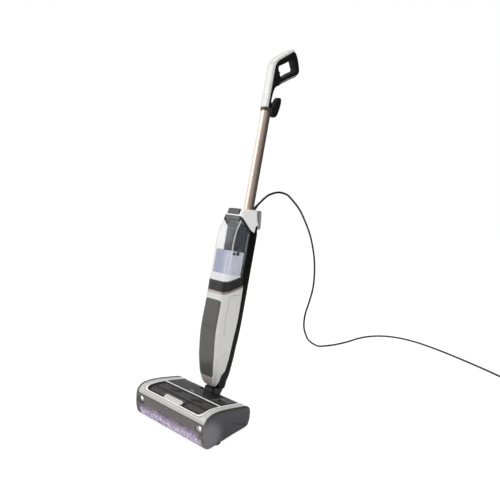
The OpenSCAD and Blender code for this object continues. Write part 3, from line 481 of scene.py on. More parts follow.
def cover_skin(side):
    """Rings from the flange's inner edge out to the rim, over the rounded edge and in to the middle of the
    plate, which is crowned by a fifth of a millimetre."""
    rings = [(WALL_X + 2.9, 2.8), (IN_X + 0.3, 2.8), (IN_X + 0.3, 0.3), (IN_X + 1.0, 0.0), (IN_X + 3.4, 0.1),
             (IN_X + 4.9, 0.9), (IN_X + 5.7, 2.2), (IN_X + 6.0, 4.0)]
    loops = [(x, inset_outline(outline, inset)) for x, inset in rings]
    rim, middle = loops[-1][1], np.array([-14.0, 48.0])
    for share in (0.9, 0.75, 0.55, 0.3, 0.0):
        loops.append((OUT_X + 2.8 + 0.2 * (1 - share), middle + share * (rim - middle)))
    grid = np.stack([np.column_stack([np.full(len(loop), side * x), loop]) for x, loop in loops])
    return sleeve(grid if side < 0 else grid[:, ::-1])


def two_tone(paint, add, share, colour):
    """Blends a second colour into a finish by a share that is 0 to 1: returns its shader."""
    shader = next(n for n in paint.node_tree.nodes if n.type == "BSDF_PRINCIPLED")
    base = shader.inputs["Base Color"]
    mix = add("Mix", data_type="RGBA", _0=share, _6=base.links[0].from_socket, _7=(*colour, 1))
    paint.node_tree.links.new(mix.outputs[2], base)
    return shader


def painted_light_cover_finish():
    """Dark semi-gloss plastic with painted light: it turns to a paler grey within 68 mm of the front lower
    corner.
    """
    paint = finish("cover grey", (0.043, 0.043, 0.048), 0.36, coat=0.1, grain=0.03)
    add = node_tree(paint, empty=False)[1]
    flat = add("VectorMath", operation="MULTIPLY", _0=add("TexCoord").outputs["Object"], _1=(0, 1, 1))
    gap = add("VectorMath", operation="DISTANCE", _0=flat.outputs[0], _1=(0, -0.098, 0.03)).outputs["Value"]
    # painted light: the paler grey near the front lower corner stands in for light falling on it
    near = add("MapRange", interpolation_type="SMOOTHSTEP", Value=gap, _1=0.068, _2=0.03)
    two_tone(paint, add, near.outputs[0], (0.17, 0.165, 0.175))
    return paint


dress(build("side_cover_pair", cover_skin(-1), cover_skin(1)), painted_light_cover_finish(), "side_covers",
      1.4)

# ---------------------------------------------------------------- headlights
# One lamp behind each end of the clear lens: an oval grey housing with a reflector cone and a white
# rim, and a white domed lamp that shines. Each is (radius, distance back from the lamp's front).
HOUSING = [(5.1, 7.0), (6.3, 1.6), (6.9, 0.3), (7.4, 0.0), (7.8, 0.2), (8.0, 0.8), (8.0, 9.6), (7.2, 9.9),
           (0.0, 9.9)]
LAMP = [(0.0, 0.6), (2.0, 0.8), (3.6, 1.3), (4.6, 2.2), (5.0, 3.2), (5.0, 7.0), (0.0, 7.0)]
RIM = [(7.0, 1.6), (6.8, 0.2), (7.3, -0.6), (8.3, -0.4), (8.6, 0.6), (8.3, 1.8), (7.0, 1.6)]


def oval(side, rings):
    """Rings round a point 128 mm out and 60 mm up, 1.6 times wider than high, that face forward."""
    r, back = np.array(rings, float).T[:, :, None]
    a = circle(64)
    return sleeve(np.stack([side * 128 + 1.6 * r * np.cos(a), -102.0 + back + 0 * a, 60 + r * np.sin(a)], -1))


lamp_white = bpy.data.materials.new("lamp_white")
add = node_tree(lamp_white)[1]
shine = add("TexNoise", Vector=add("TexCoord").outputs["Object"], Scale=500.0).outputs[0]
shade = add("Mix", data_type="RGBA", _0=shine, _6=(0.9, 0.9, 0.86, 1), _7=(1, 1, 1, 1))
glow = add("BsdfPrincipled", Base_Color=shade.outputs[2], Roughness=0.1, Emission_Color=(1.0, 0.99, 0.95, 1),
           Emission_Strength=1.4)
add("OutputMaterial", Surface=glow.outputs[0])
lamp_grey = finish("lamp surround", (0.3, 0.29, 0.29), 0.22, metal=0.3, grain=0.0)
rim_white = finish("lamp rim", (0.9, 0.89, 0.87), 0.2, coat=0.5, mottle=0.01, grain=0.0)
for part, rings, paint, node, slot in (("housing", HOUSING, lamp_grey, "headlight_housings", "grey_plastic"),
                                       ("lamp", LAMP, lamp_white, "headlight_lamps", "lamp_white"),
                                       ("rim", RIM, rim_white, "headlight_housings", "grey_plastic")):
    dress(build(f"headlight_{part}_pair", oval(-1, rings), oval(1, rings)), paint, node)

# ---------------------------------------------------------------- clear lens
# The clear, faintly smoked window over the roller: one curved strip across the front of the head,
# clipped in behind the bezel. It is laid on the head's own skin, whose outline is measured here.
skin_line = smooth_through(HEAD_PTS[:17], 24)
skin_reach = np.concatenate([[0], np.cumsum(np.linalg.norm(np.diff(skin_line, axis=0), axis=1))])
skin_normal = np.gradient(skin_line, skin_reach, axis=0)
skin_normal = np.stack([-skin_normal[:, 1], skin_normal[:, 0]], 1)
skin_normal /= np.linalg.norm(skin_normal, axis=1, keepdims=True)


def on_head(x, s, proud=0.0):
    """Places flat coordinates on the head's skin: x across, s the length along the side outline from its low
    front point, and proud the height above the skin."""
    x, s, proud = np.broadcast_arrays(*(np.asarray(v, float) for v in (x, s, proud)))
    y, z = (np.interp(s, skin_reach, skin_line[:, i]) for i in (0, 1))
    ny, nz = (np.interp(s, skin_reach, skin_normal[:, i]) for i in (0, 1))
    return np.stack([x, y + proud * ny, z + proud * nz], -1)


def patch(x_ends, s_ends, cols, rows, proud=0.0):
    """An even patch of the head's skin between two x and two lengths."""
    return on_head(np.linspace(*x_ends, cols)[None, :], np.linspace(*s_ends, rows)[:, None], proud)


def reach_at(y=None, z=None):
    """The length along the outline where the front rises through height z, or where the top passes y."""
    front, rear = int(np.argmin(skin_line[:, 0])), int(np.argmax(skin_line[:, 1 if y is None else 0]))
    wanted, column = (z, 1) if y is None else (y, 0)
    return float(np.interp(wanted, skin_line[front:rear, column], skin_reach[front:rear]))


def clear(name, colour, alpha, rough, patch=14.0, mottle=0.05, coat=0.3):
    """Clear moulding: mostly see-through, glossy, a little smokier in soft patches."""
    return finish(name, colour, rough, alpha=alpha, coat=coat, mottle=mottle, patch=patch, grain=0.02,
                  grain_size=200)


def lens_finish():
    """See-through over the roller. The strip above the roller is smoked brown, the ends are smoked grey, and
    the lower edge carries painted lilac tufts, a painted refraction of the pile seen enlarged through it."""
    paint = bpy.data.materials.new("clear_lens")
    add = node_tree(paint)[1]
    where = add("TexCoord").outputs["Object"]
    x, y, z = add("SeparateXYZ", Vector=where).outputs
    across = maths(add, "ABSOLUTE", x)
    patches = add("TexNoise", Vector=where, Scale=34.0, Detail=2.0).outputs[0]
    height = maths(add, "ADD", z, maths(add, "MULTIPLY_ADD", patches, 0.02, -0.01))
    flat = add("CombineXYZ", _0=maths(add, "MULTIPLY", across, 0.625), _1=0.0, _2=z)
    lamp = add("VectorMath", operation="DISTANCE", _0=flat.outputs[0], _1=(0.08, 0, 0.06)).outputs["Value"]
    high = maths(add, "MULTIPLY", fade(add, height, 0.046, 0.056), fade(add, lamp, 0.0085, 0.0105))
    # painted refraction: low on the lens, lilac tufts are painted in for the pile seen through the thick
    # lower edge
    low = maths(add, "MULTIPLY", fade(add, height, 0.052, 0.03), fade(add, across, 0.132, 0.126))
    ends = maths(add, "MULTIPLY", fade(add, across, 0.128, 0.134), fade(add, z, 0.051, 0.046))
    lilac = tufts(add, where, (LILACS[0], LILACS[1], LILACS[3]))[0]
    hue = add("Mix", data_type="RGBA", _0=low, _6=(0.17, 0.15, 0.14, 1), _7=lilac)
    smoked = maths(add, "MAXIMUM", maths(add, "MULTIPLY", low, 0.72), maths(add, "MULTIPLY", ends, 0.5))
    smoked = maths(add, "MAXIMUM", maths(add, "MULTIPLY", high, 0.62), smoked)
    shader = add("BsdfPrincipled", Base_Color=hue.outputs[2], Alpha=maths(add, "ADD", smoked, 0.1),
                 Roughness=0.14, Coat_Weight=0.3)
    add("OutputMaterial", Surface=shader.outputs[0])
    return paint


lens = build("clear_brush_lens", patch((-IN_X + 0.3, IN_X - 0.3), (float(skin_reach[30]), reach_at(z=73.4)),
                                       60, 40))
dress(lens, lens_finish(), "brush_lens", 2.4, 0.4)

# ---------------------------------------------------------------- bezel
# The white frame round the window: a strip across the front, two arms along the sides, all one
# moulding, with a raised lip along the window and its outer edge turned down. The frame's greyer white
# is painted shade, and the lip's brighter white is a painted highlight.
DECK_X = 120.3
S_FRONT, S_WINDOW, S_REAR = reach_at(z=74.0), reach_at(y=-92.3), reach_at(y=72.5)


def frame_path(half, s_front, radius, n_arm=70, n_arc=16, n_front=60):
    """The path from the left arm's rear end, round the front, to the right arm's, as (x, s) points."""
    arm = np.column_stack([np.full(n_arm, -half), np.linspace(S_REAR, s_front + radius, n_arm)])
    a = np.linspace(0, np.pi / 2, n_arc + 2)[1:-1]
    arc = np.column_stack([-half + radius - radius * np.cos(a), s_front + radius - radius * np.sin(a)])
    front = np.column_stack([np.linspace(-half + radius, half - radius, n_front), np.full(n_front, s_front)])
    return np.vstack([arm, arc, front, (arc * [-1, 1])[::-1], (arm * [-1, 1])[::-1]])


inner = frame_path(DECK_X + 0.3, S_WINDOW, 16.0)
outer = frame_path(IN_X - 0.25, S_FRONT, 7.0)


def strip_skin(*section):
    """A strip along the frame: (share of the way from the window's edge outwards, height on the head)."""
    share, lift = np.array(section).T
    flat = inner[:, None, :] + share[None, :, None] * (outer - inner)[:, None, :]
    return on_head(flat[..., 0], flat[..., 1], lift[None, :])[::-1]


bezel = build("white_bezel", strip_skin((0.245, -2.4), (0.25, -0.3), (0.255, 0.05), (0.27, 0.22), (0.35, 0.3),
                                        (0.6, 0.3), (0.85, 0.15), (0.95, -0.1), (0.985, -0.5), (1.0, -1.2),
                                        (1.0, -2.4)), sharp=50)
# painted shade: the frame's white is greyed against the light on its upward faces
dress(bezel, finish("bezel white with painted shade", (0.55, 0.545, 0.52), 0.3, coat=0.3, mottle=0.01, grain=0.0), "bezel")
lip = build("white_bezel_lip", strip_skin((0.0, -2.4), (0.0, -0.4), (0.01, 0.5), (0.04, 1.1), (0.16, 1.15),
                                          (0.19, 0.8), (0.195, 0.0), (0.195, -2.0)), sharp=50)
# painted highlight: the lip is painted a brighter white than the rest of the same moulding
dress(lip, finish("lip white painted highlight", (0.93, 0.925, 0.91), 0.35, mottle=0.005, grain=0.0), "bezel")
lip_joint = build("bezel_joint", strip_skin((0.19, -0.1), (0.26, -0.1)))
dress(lip_joint, finish("bezel shadow", (0.09, 0.09, 0.088), 0.6, grain=0.0), "bezel")

# ---------------------------------------------------------------- release tab
# The cream ribbed tab that frees the window: a low pad with grip grooves and rounded ends, on a dark
# leaf that is level with the window and hinged on a small round rib at its rear edge.
TAB_HALF, GROOVE_STEP = 37.5, 8.4
ROD_Y, ROD_Z, ROD_R = -70.6, 94.4, 1.05


def corner_cut(along, radius):
    """How far a rounded corner draws a side in, at a distance along it from the end: as a circle does."""
    return radius - np.sqrt(np.maximum(0, radius ** 2 - np.maximum(0, radius - along) ** 2))


def edged(grid, under):
    """A plate's top with its edge closed: a border of the outermost points of the grid that lies under it."""
    plate = np.pad(under, ((1, 1), (1, 1), (0, 0)), mode="edge")
    plate[1:-1, 1:-1] = grid
    return plate[:, ::-1]


def pad(half, s_ends, radius, cols, rows, height):
    """A patch on the head's skin with rounded corners. height(x, share of s) gives its height, and its
    outermost lines drop 2 mm below the skin."""
    depth = s_ends[1] - s_ends[0]
    a = np.linspace(0, 1, rows)
    run = depth * (3 * a ** 2 - 2 * a ** 3) * 0.35 + depth * a * 0.65
    x = np.linspace(-1, 1, cols)[None, :] * (half - corner_cut(np.minimum(run, depth - run), radius)[:, None])
    s = s_ends[0] + run[:, None] + 0 * x
    return edged(on_head(x, s, height(x, (run / depth)[:, None] + 0 * x)), on_head(x, s, -2.0))


def tab_height(x, t):
    """A rounded rim, and grip grooves from front to rear: a clipped cosine of x."""
    rim = np.minimum(np.minimum(t, 1 - t) * 17, (TAB_HALF - np.abs(x)))
    crown = 0.5 + 2.4 * np.sqrt(1 - (1 - np.clip(rim / 3.5, 0, 1)) ** 2)
    wave = np.clip(np.cos(x * 2 * np.pi / GROOVE_STEP) * 2.4 - 1.2, 0, 1)
    groove = 1.7 * wave * np.clip((rim - 2.5) / 1.5, 0, 1)
    return crown - groove


def groove_shaded_finish():
    """Cream plastic with painted shade in the grip grooves: a cosine of x in step with them blends two
    creams.
    """
    paint = finish("white_satin", (0.76, 0.745, 0.71), 0.4, coat=0.15, mottle=0.02, grain=0.0)
    add = node_tree(paint, empty=False)[1]
    x = add("SeparateXYZ", Vector=add("TexCoord").outputs["Object"]).outputs[0]
    wave = maths(add, "COSINE", maths(add, "MULTIPLY", x, 2 * math.pi / (GROOVE_STEP * MM)))
    # painted shade: the darker cream stands in for shade in the grip grooves
    two_tone(paint, add, fade(add, wave, 0.2, 0.8), (0.42, 0.4, 0.37))
    return paint


def turned(half, y, z, profile, sides):
    """A turned part across the machine: (share of half its length, radius) pairs, round the axis at y, z."""
    share, radius = np.array(profile, float).T[:, :, None]
    a = circle(sides)
    return np.stack([half * share + 0 * a, y + radius * np.cos(a), z + radius * np.sin(a)], -1)[:, ::-1]


tab = build("ribbed_release_tab", pad(TAB_HALF, (reach_at(y=-92.6), reach_at(y=-78.6)), 7.0, 321, 40,
                                      tab_height), sharp=50)
dress(tab, groove_shaded_finish(), "release_tab")
leaf = build("tab_hinge_leaf", patch((39.9, -39.9), (reach_at(y=-91.5), reach_at(y=-69.8)), 40, 12, -0.3),
             solid(turned(38, ROD_Y, ROD_Z, [(-1, ROD_R), (1, ROD_R)], 20)))
leaf_smoke = finish("leaf smoke", (0.052, 0.048, 0.048), 0.26, coat=0.2, mottle=0.1, grain=0.0)
dress(leaf, leaf_smoke, "release_tab", 0.9)

# ---------------------------------------------------------------- smoked window
# The lift-off window over the roller, smoked and polished, notched for the tab, with a grip plate
# under its front edge. Its front corners follow the bezel.
PLATE_HALF, CORNER_FROM = DECK_X - 0.35, 95


def deck_plate(s_low, s_high, cols, rows, corner, holes):
    """A plate on the head's skin: x lines and s lines are even, with extra lines at each hole's edges; cells
    inside a hole are left out. Only the front corners are rounded, by narrowing the outer columns. Holes are
    (x0, x1, s0, s1)."""
    fine = s_low + np.array([0.3, 0.8, 1.6, 2.8, 4.4, 6.5, 9.0, 12.0]) if corner else []
    x = np.concatenate([np.linspace(-PLATE_HALF, PLATE_HALF, cols), *(hole[:2] for hole in holes)])
    s = np.concatenate([fine, np.linspace(s_low, s_high, rows), *(hole[2:] for hole in holes)])
    x, s = np.unique(np.round(x, 4)), np.unique(np.round(s, 4))
    x, s = x[(x >= -PLATE_HALF) & (x <= PLATE_HALF)], s[(s >= s_low - 1e-3) & (s <= s_high + 1e-3)]
    narrow, outside = corner_cut(s - s_low, corner), PLATE_HALF - CORNER_FROM
    drawn = np.sign(x) * (CORNER_FROM + (np.abs(x) - CORNER_FROM) * (outside - narrow[:, None]) / outside)
    wide = np.where(np.abs(x)[None, :] > CORNER_FROM, drawn, x[None, :])
    mx, ms = (x[:-1] + x[1:]) / 2, (s[:-1] + s[1:])[:, None] / 2
    keep = np.ones((len(s) - 1, len(x) - 1), bool)
    for x0, x1, s0, s1 in holes:
        keep &= ~((mx > x0) & (mx < x1) & (ms > s0) & (ms < s1))
    return on_head(wide, s[:, None], -0.2)[:, ::-1], False, keep[:, ::-1]


notch = (-40.4, 40.4, S_WINDOW - 9, reach_at(y=-67.9))
window = build("smoked_window", deck_plate(S_WINDOW + 0.3, reach_at(y=-16.7), 49, 30, 15.6, [notch]),
               patch((44, -44), (reach_at(y=-86), reach_at(y=-64)), 30, 8, -2.6))
dress(window, clear("smoke_window", (0.03, 0.028, 0.028), 0.13, 0.24), "brush_window", 2.2,
      0.35)

# ---------------------------------------------------------------- spray plate
# The grey plate under the window that carries the clean water's two spray mouths; each mouth is a row
# of four black slats, given as (x from the mouth's middle, y, half width).
SLATS, SLAT_DEPTH, SLAT_HEIGHT = [(-8, -44, 7), (-3, -38.6, 11), (3, -33.2, 12), (9, -27.8, 9)], 2.6, 1.9
spray_plate = build("spray_plate", patch((-112, 112), (reach_at(y=-86), reach_at(y=-18)), 30, 16,
                                         -5.6)[:, ::-1])
plate_grey = finish("plate grey", (0.078, 0.074, 0.073), 0.55, mottle=0.06, patch=16, grain=0.0)
dress(spray_plate, plate_grey, "spray_nozzles")


def slat(x, y, wide):
    """One slanted slat: a rounded bar that leans forward, its section a circle drawn towards a square."""
    a = circle(20)
    s = reach_at(y=y) + SLAT_DEPTH * np.sign(np.cos(a)) * np.abs(np.cos(a)) ** 0.6
    return solid(on_head(x + wide * np.linspace(-1, 1, 9)[:, None], s,
                         -4.5 + SLAT_HEIGHT * np.sin(a))[:, ::-1])


mouths = build("spray_mouths", *[slat(middle + x, y, wide) for middle in (-47, 46) for x, y, wide in SLATS])
dress(mouths, black_rubber, "spray_nozzles")

# ---------------------------------------------------------------- rear deck, seam and pedal
# The smoky see-through deck behind the window, cut out for the pedal and the neck; the thin white
# seal, moulded as a row of small beads, that stands between deck and window; and the black pedal.
PEDAL_X, PEDAL_Y, BEAD_STEP = 91, 18, 5.2
S_PEDAL = (reach_at(y=PEDAL_Y - 14.3), reach_at(y=PEDAL_Y + 14.3))
pocket = (PEDAL_X - 19.3, PEDAL_X + 19.3, *S_PEDAL)
neck_gap = (-33.0, 33.0, reach_at(y=44.0), 999.0)
deck = build("smoky_rear_deck", deck_plate(reach_at(y=-13.5), reach_at(y=70.8), 61, 34, 0.0,
                                           [pocket, neck_gap]))
dark_translucent = clear("dark_translucent", (0.026, 0.026, 0.027), 0.7, 0.22, 24.0, 0.45, 0.1)
dress(deck, dark_translucent, "rear_deck", 2.2, 0.35)

# pocket walls that run down round the pedal, in the same smoky moulding: a path round the pocket,
# widened at the top, at five heights
x0, x1, s0, s1 = pocket
rim_t = np.linspace(0, 4, 81)
rim = np.column_stack([np.interp(rim_t, range(5), v) for v in ((x0, x1, x1, x0, x0), (s0, s0, s1, s1, s0))])
swell, drop = np.array([[1.6, 0.5, 0.0, 0.0, 0.0], [0.5, 0.35, -0.2, -3.0, -7.5]])[:, :, None]
walls = rim + swell[..., None] * np.sign(rim - rim[:-1].mean(0))
pedal_rim = build("pedal_pocket_rim", on_head(walls[..., 0], walls[..., 1], drop))
pocket_grey = finish("pocket grey", (0.12, 0.12, 0.125), 0.25, coat=0.4, grain=0.03)
dress(pedal_rim, pocket_grey, "rear_deck", 0.8)


def seam_height(x, t):
    """Beads along the seal: the size of a sine of x, let down at the front and rear edge."""
    beads = 0.35 + 0.65 * np.abs(np.sin(x * np.pi / BEAD_STEP))
    return 0.3 + 0.7 * beads * np.clip(np.minimum(t, 1 - t) * 4, 0, 1)


seam = build("white_deck_seal", pad(DECK_X - 0.4, (reach_at(y=-16.4), reach_at(y=-13.9)), 0.8, 601, 9,
                                    seam_height), sharp=60)
dress(seam, finish("seal white", (0.93, 0.93, 0.92), 0.4, mottle=0.01, grain=0.0), "deck_seam")


def pedal_height(x, t):
    """A shallow dish with five grip ribs across it."""
    dish = -5.0 - 0.8 * (1 - (t * 2 - 1) ** 2) * (1 - (x / 19) ** 2)
    ribs = 0.7 * np.clip(np.cos(t * 2 * np.pi * 5) * 1.5, 0, 1) * (np.abs(x) < 15)
    return dish + ribs


def upright_rings(levels, radii, x=0.0, y=0.0, sides=64):
    """Circles of the given radii at the given heights, round an upright axis at x, y."""
    z, r, a = np.array(levels, float)[:, None], np.array(radii, float)[:, None], circle(sides)
    return np.stack([x + r * np.cos(a), y + r * np.sin(a), z + 0 * a], -1)


pedal_top = pad(18.9, (S_PEDAL[0] + 0.4, S_PEDAL[1] - 0.4), 3.0, 41, 61, pedal_height)
edge = np.ones(pedal_top.shape[:2], bool)
edge[1:-1, 1:-1] = False
pedal_top[edge] += np.array([0, 0, -7.0])
pedal_top[..., 0] += PEDAL_X
pedal = build("floor_pedal", pedal_top, solid(upright_rings((70, 16), (4, 4), PEDAL_X, PEDAL_Y, 32)))
dress(pedal, black_plastic, "deck_pedal")

# ---------------------------------------------------------------- skid feet
# Two black rubber feet pressed into the chassis under the side covers, on which the head slides when
# it is tipped forward.
feet = build("skid_foot_pair", *[sleeve(soft_block((side * 147, -54, 4.6), (5.5, 11.0, 4.6), 32, 2.2, 17))
                                 for side in (-1, 1)])
dress(feet, black_rubber, "skid_feet")

# ---------------------------------------------------------------- neck
# The black moulded elbow between head and body: a barrel on the steel pin, a block that widens to
# the rear, and a round spigot on which the body turns.
ELBOW = [(-11, -5, 9, -9), (-13.5, -1, 17, -5), (-14.6, 8, 24, 3.5), (-14.8, 18, 30, 14),
         (-13.6, 26, 35, 24.5), (-13.2, 30.6, 37, 31.4)]


def bar(line, half, power=4.0, sides=40):
    """A bar of rounded section between two side outlines: each row of the line is (inner y, inner z, outer y,
    outer z). The section is a superellipse, and half is its reach to either side."""
    near, far = line[:, None, :2], line[:, None, 2:]
    a = circle(sides)[..., None]
    yz = (near + far) / 2 + soft(np.cos(a), power) * (far - near) / 2
    return leaned(np.concatenate([half * soft(np.sin(a), power) + 0 * yz[..., :1], yz], -1))


barrel = leaned(turned(22.4, 0, 0, [(-1, 12.2), (-0.96, 13), (0.96, 13), (1, 12.2)], 64))
spigot = leaned(upright_rings((29.0, 55.0, 55.8), (12, 12, 12 * 0.93), 0, 4)[:, ::-1])
neck = build("black_neck_elbow", solid(bar(smooth_through(ELBOW, 8), 20.0, 7.0, 56)), solid(barrel),
             solid(spigot))
dress(neck, black_plastic, "neck_elbow")

# ---------------------------------------------------------------- white lower body
# The white moulded front shell of the upright: a soft-cornered skin that follows the front and
# side outlines, meets the black spine along a bent seam and ends under the champagne strip.
# The outlines are (value, height) pairs in the upright's own frame.
FRONT_PTS = [(-6, 34), (-14, 37), (-21, 44), (-28, 58), (-34.5, 77), (-40, 95), (-46.5, 120), (-53.5, 156),
             (-57.5, 180), (-61, 212), (-61.5, 250), (-61, 331), (-62, 361), (-62, 452), (-60.5, 486),
             (-54, 520), (-47, 542), (-42, 561), (-37, 584), (-35.5, 592)]
REAR_PTS = [(39, 32.5), (41, 40), (41.8, 50), (41.8, 70), (41.8, 95), (44, 152), (47.5, 190), (50, 247),
            (50, 400), (50, 535), (43, 561), (37, 592)]
WIDTH_PTS = [(12, 34), (20, 37), (28, 47), (34, 62), (39, 85), (42, 120), (43, 160), (43, 490), (41, 525),
             (37, 561), (33, 600)]
SEAM_PTS = [(-6, 34), (-8, 77), (-6, 81), (0, 85), (3, 92), (6, 119), (11, 188), (16, 247), (15, 312),
            (14, 335)]
WALL, SPLIT = 2.4, 25.4
# columns of half an outline: middle of the front to the split, round the corner, along the side,
# round the rear corner and to the middle of the back
COL = np.concatenate([[0.0], *(i + np.linspace(0, 1, n + 1)[1:] for i, n in enumerate((8, 18, 12, 8, 6)))])


def profile(points):
    """A smooth outline value that can be asked at any height."""
    line = smooth_through([(z, v) for v, z in points], 8)
    return lambda z: np.interp(z, line[:, 0], line[:, 1])


front_at, rear_at, width_at, seam_at = (profile(p) for p in (FRONT_PTS, REAR_PTS, WIDTH_PTS, SEAM_PTS))


def corner_at(z):
    """Radius of the body's upright corners: tight at the foot, wide at the tank."""
    return np.interp(z, [34, 60, 120, 250, 340, 452, 500, 545, 592], [7, 10, 15, 19, 22, 22, 17, 12, 10])


def band_z(y):
    """The dark band's lower border, which rises to the rear at 20 degrees."""
    return 329 + (y + 61) * math.tan(math.radians(20))


def lid_z(y):
    """The upper border of the tank's dark lid: behind its front edge it falls to the rear at 37 degrees."""
    return 561 - (np.maximum(y, -41) + 41) * math.tan(math.radians(37))


def half_outline(z, rear, rho, proud, closed, split):
    """Half of the body's outline level with z, one point for each column of COL. The front is straight, the
    corner a true arc, the side straight back to rear; closed outlines go on round a rear corner of radius
    rho."""
    col = COL if closed else COL[COL <= 3]
    z = z + 0 * col[None, :]
    f, w = front_at(z) - proud, width_at(z) + proud
    r = np.minimum(corner_at(z) + proud, np.minimum(w - 2, rear - f - 0.05 if np.ndim(rear) else w - 2))
    r = np.maximum(r, 0.05)
    rear, split = rear + 0 * z, np.minimum(split, 0.6 * w)
    part = np.floor(col[None, :] - 1e-9) + 0 * z
    t = np.where(col[None, :] == 0, 0.0, col[None, :] - part)

    def bent(x):
        """How far the round corner has fallen back from the front at x."""
        return r - np.sqrt(r ** 2 - np.clip(x - (w - r), 0, r) ** 2)

    first = np.arcsin(np.clip((split - (w - r)) / r, 0, 1))
    flat = np.maximum(w - r - split, 0)
    run = t * (flat + (np.pi / 2 - first) * r)
    angle = first + np.maximum(run - flat, 0) / r
    side_x = np.where(run < flat, split + run, w - r + r * np.sin(angle))
    side_y = np.where(run < flat, f, f + r - r * np.cos(angle))
    stretch = [part <= 0, part == 1, part == 2, part == 3]
    x = np.select(stretch, [t * split, side_x, w, w - rho + rho * np.cos(t * np.pi / 2)], (1 - t) * (w - rho))
    y = np.select(stretch, [f + bent(t * split), side_y, f + r + t * (rear - rho - f - r),
                            rear - rho + rho * np.sin(t * np.pi / 2)], rear)
    return x, y


def both_sides(x, y, z, closed=True):
    """Half a loop joined to its mirror image, from the left end or the middle of the back round the front."""
    half = np.stack([x, y, z], -1)
    left = (half * [-1, 1, 1])[:, ::-1]
    return np.concatenate([left[:, 1:-1] if closed else left[:, :-1], half], 1)[:, ::-1]


def body_skin(rows, low, high, rear, rho=0.0, proud=0.0, closed=False, split=SPLIT):
    """A skin round the body between two borders, each a height or a function of y. rows are the shares from
    low to high. rear is the rear limit, a number or a function of z. Heights are settled by a few fixed-point
    passes, since border and outline depend on each other."""
    col = COL if closed else COL[COL <= 3]
    v = np.asarray(rows, float)[:, None] + 0 * col[None, :]

    def at(limit, value):
        """The limit, asked at the value if it is a function."""
        return limit(value) if callable(limit) else limit + 0 * value
    z, y = 300 + 0 * v, np.zeros_like(v)
    for _ in range(24):
        z = (z + at(low, y) + v * (at(high, y) - at(low, y))) / 2
        x, y = half_outline(z, at(rear, z), rho, proud, closed, split)
    return both_sides(x, y, z, closed)


def even(n, ends=0.0):
    """n+1 shares from 0 to 1, gathered towards both ends as much as asked."""
    t = np.linspace(0, 1, n + 1)
    return t - ends * np.sin(2 * np.pi * t) / (2 * np.pi)


white_gloss = finish("white_gloss", (0.74, 0.735, 0.72), 0.3, coat=0.3, mottle=0.008, grain=0.0)
low_rows = np.unique(np.concatenate([even(14) ** 1.8 * 0.18, 0.18 + even(42) * 0.82]))
shell = build("white_lower_shell", leaned(body_skin(low_rows, 34.2, lambda y: band_z(y) - 7.1, seam_at)))
dress(shell, white_gloss, "lower_shell", WALL, 0.5)

# the bent groove on each side: a thin grey bead through these (height, y) points, its grey a painted shade
# for the groove
groove_line = smooth_through([(326, 8), (325, -8), (323.5, -24), (318, -33), (306, -37), (280, -39),
                              (251, -40), (225, -37.5), (200, -33)], 6)
groove_z, groove_y = groove_line.T
beads = [leaned(np.stack([side * (width_at(groove_z) - 0.1), groove_y, groove_z], 1)) for side in (-1, 1)]
groove = build("shell_side_grooves", *[solid(rings_along(bead, 0.5, 10)) for bead in beads])
dress(groove, finish("groove painted shade", (0.2, 0.2, 0.2), 0.5, grain=0.05), "lower_shell")

# ---------------------------------------------------------------- front panel and foot trim
# The smoky polished plate on the front, left bare, and the rose metal-look plate below it; both
# are inlays with rounded corners and a thin dark joint round them.
# Each is (heights and their half widths, lower end, upper end, corner radius, rows).
PANEL = (([68, 80, 130, 303], [25, 27, 31, 31]), 68.0, 303.0, 7.5, 90)
FOOT_PLATE = (([42, 66.5], [15.5, 24.6]), 42.5, 66.3, 5.0, 40)


def inlay(plate, proud, grow=0.0):
    """A plate on the front of the body, grown all round as asked; the corners narrow it as circles do, and
    its outermost lines turn in by two millimetres."""
    widths, z_low, z_high, radius, rows = plate
    z_low, z_high, radius = z_low - grow, z_high + grow, radius + grow
    z = z_low + even(rows, 0.93) * (z_high - z_low)
    wide = np.interp(z, *widths) + grow - corner_cut(np.minimum(z - z_low, z_high - z), radius)
    x = np.linspace(-1, 1, 33)[None, :] * wide[:, None]
    w, r, f = (g(z)[:, None] for g in (width_at, corner_at, front_at))
    over = np.clip(np.abs(x) - (w - r), 0, r * 0.999)
    y, lean = f + r - np.sqrt(r ** 2 - over ** 2), over / r
    top, under = (np.stack([x + np.sign(x) * push * lean, y - push * np.sqrt(1 - lean ** 2),
                            z[:, None] + 0 * x], -1) for push in (proud, proud - 2.0))
    return leaned(edged(top, under))


panel = build("smoky_front_panel", inlay(PANEL, 0.45), sharp=50)
panel_smoke = finish("panel_smoke", (0.092, 0.09, 0.086), 0.32, coat=0.5, mottle=0.12, patch=9, grain=0.03)
dress(panel, panel_smoke, "front_panel")
rose_plate = build("rose_foot_plate", inlay(FOOT_PLATE, 0.45), sharp=50)
rose_metal = finish("rose_metal", (0.7, 0.57, 0.54), 0.28, metal=0.35, coat=0.5, mottle=0.05, grain=0.02)
dress(rose_plate, rose_metal, "lower_trim")
joints = build("plate_joints", inlay(PANEL, 0.16, 0.7), inlay(FOOT_PLATE, 0.14, 0.6), sharp=50)
dress(joints, finish("joint shadow", (0.3, 0.29, 0.28), 0.5, grain=0.0), "lower_shell")

# ---------------------------------------------------------------- champagne strip and dark band
# A thin satin champagne strip clipped round the shell's upper edge, and over it the dark moulded band
# on which the clear tank stands.
strip = build("champagne_strip", leaned(body_skin(even(3), lambda y: band_z(y) - 6.9,
                                                  lambda y: band_z(y) - 0.15, 13.9, proud=0.15)))
champagne = finish("champagne", (0.6, 0.51, 0.465), 0.3, metal=0.8, mottle=0.02, patch=8, grain=0.0)
dress(strip, champagne, "upper_trim", WALL, 0.4)
band = build("dark_middle_band", leaned(body_skin(even(8), band_z, lambda y: band_z(y) + 27.8,
                                                  lambda z: np.interp(z, [336, 358, 383], [14, 13, 5]))))
band_dark = finish("band_dark", (0.028, 0.024, 0.026), 0.26, coat=0.15, mottle=0.08, grain=0.0)
dress(band, band_dark, "mid_band", WALL, 0.6)

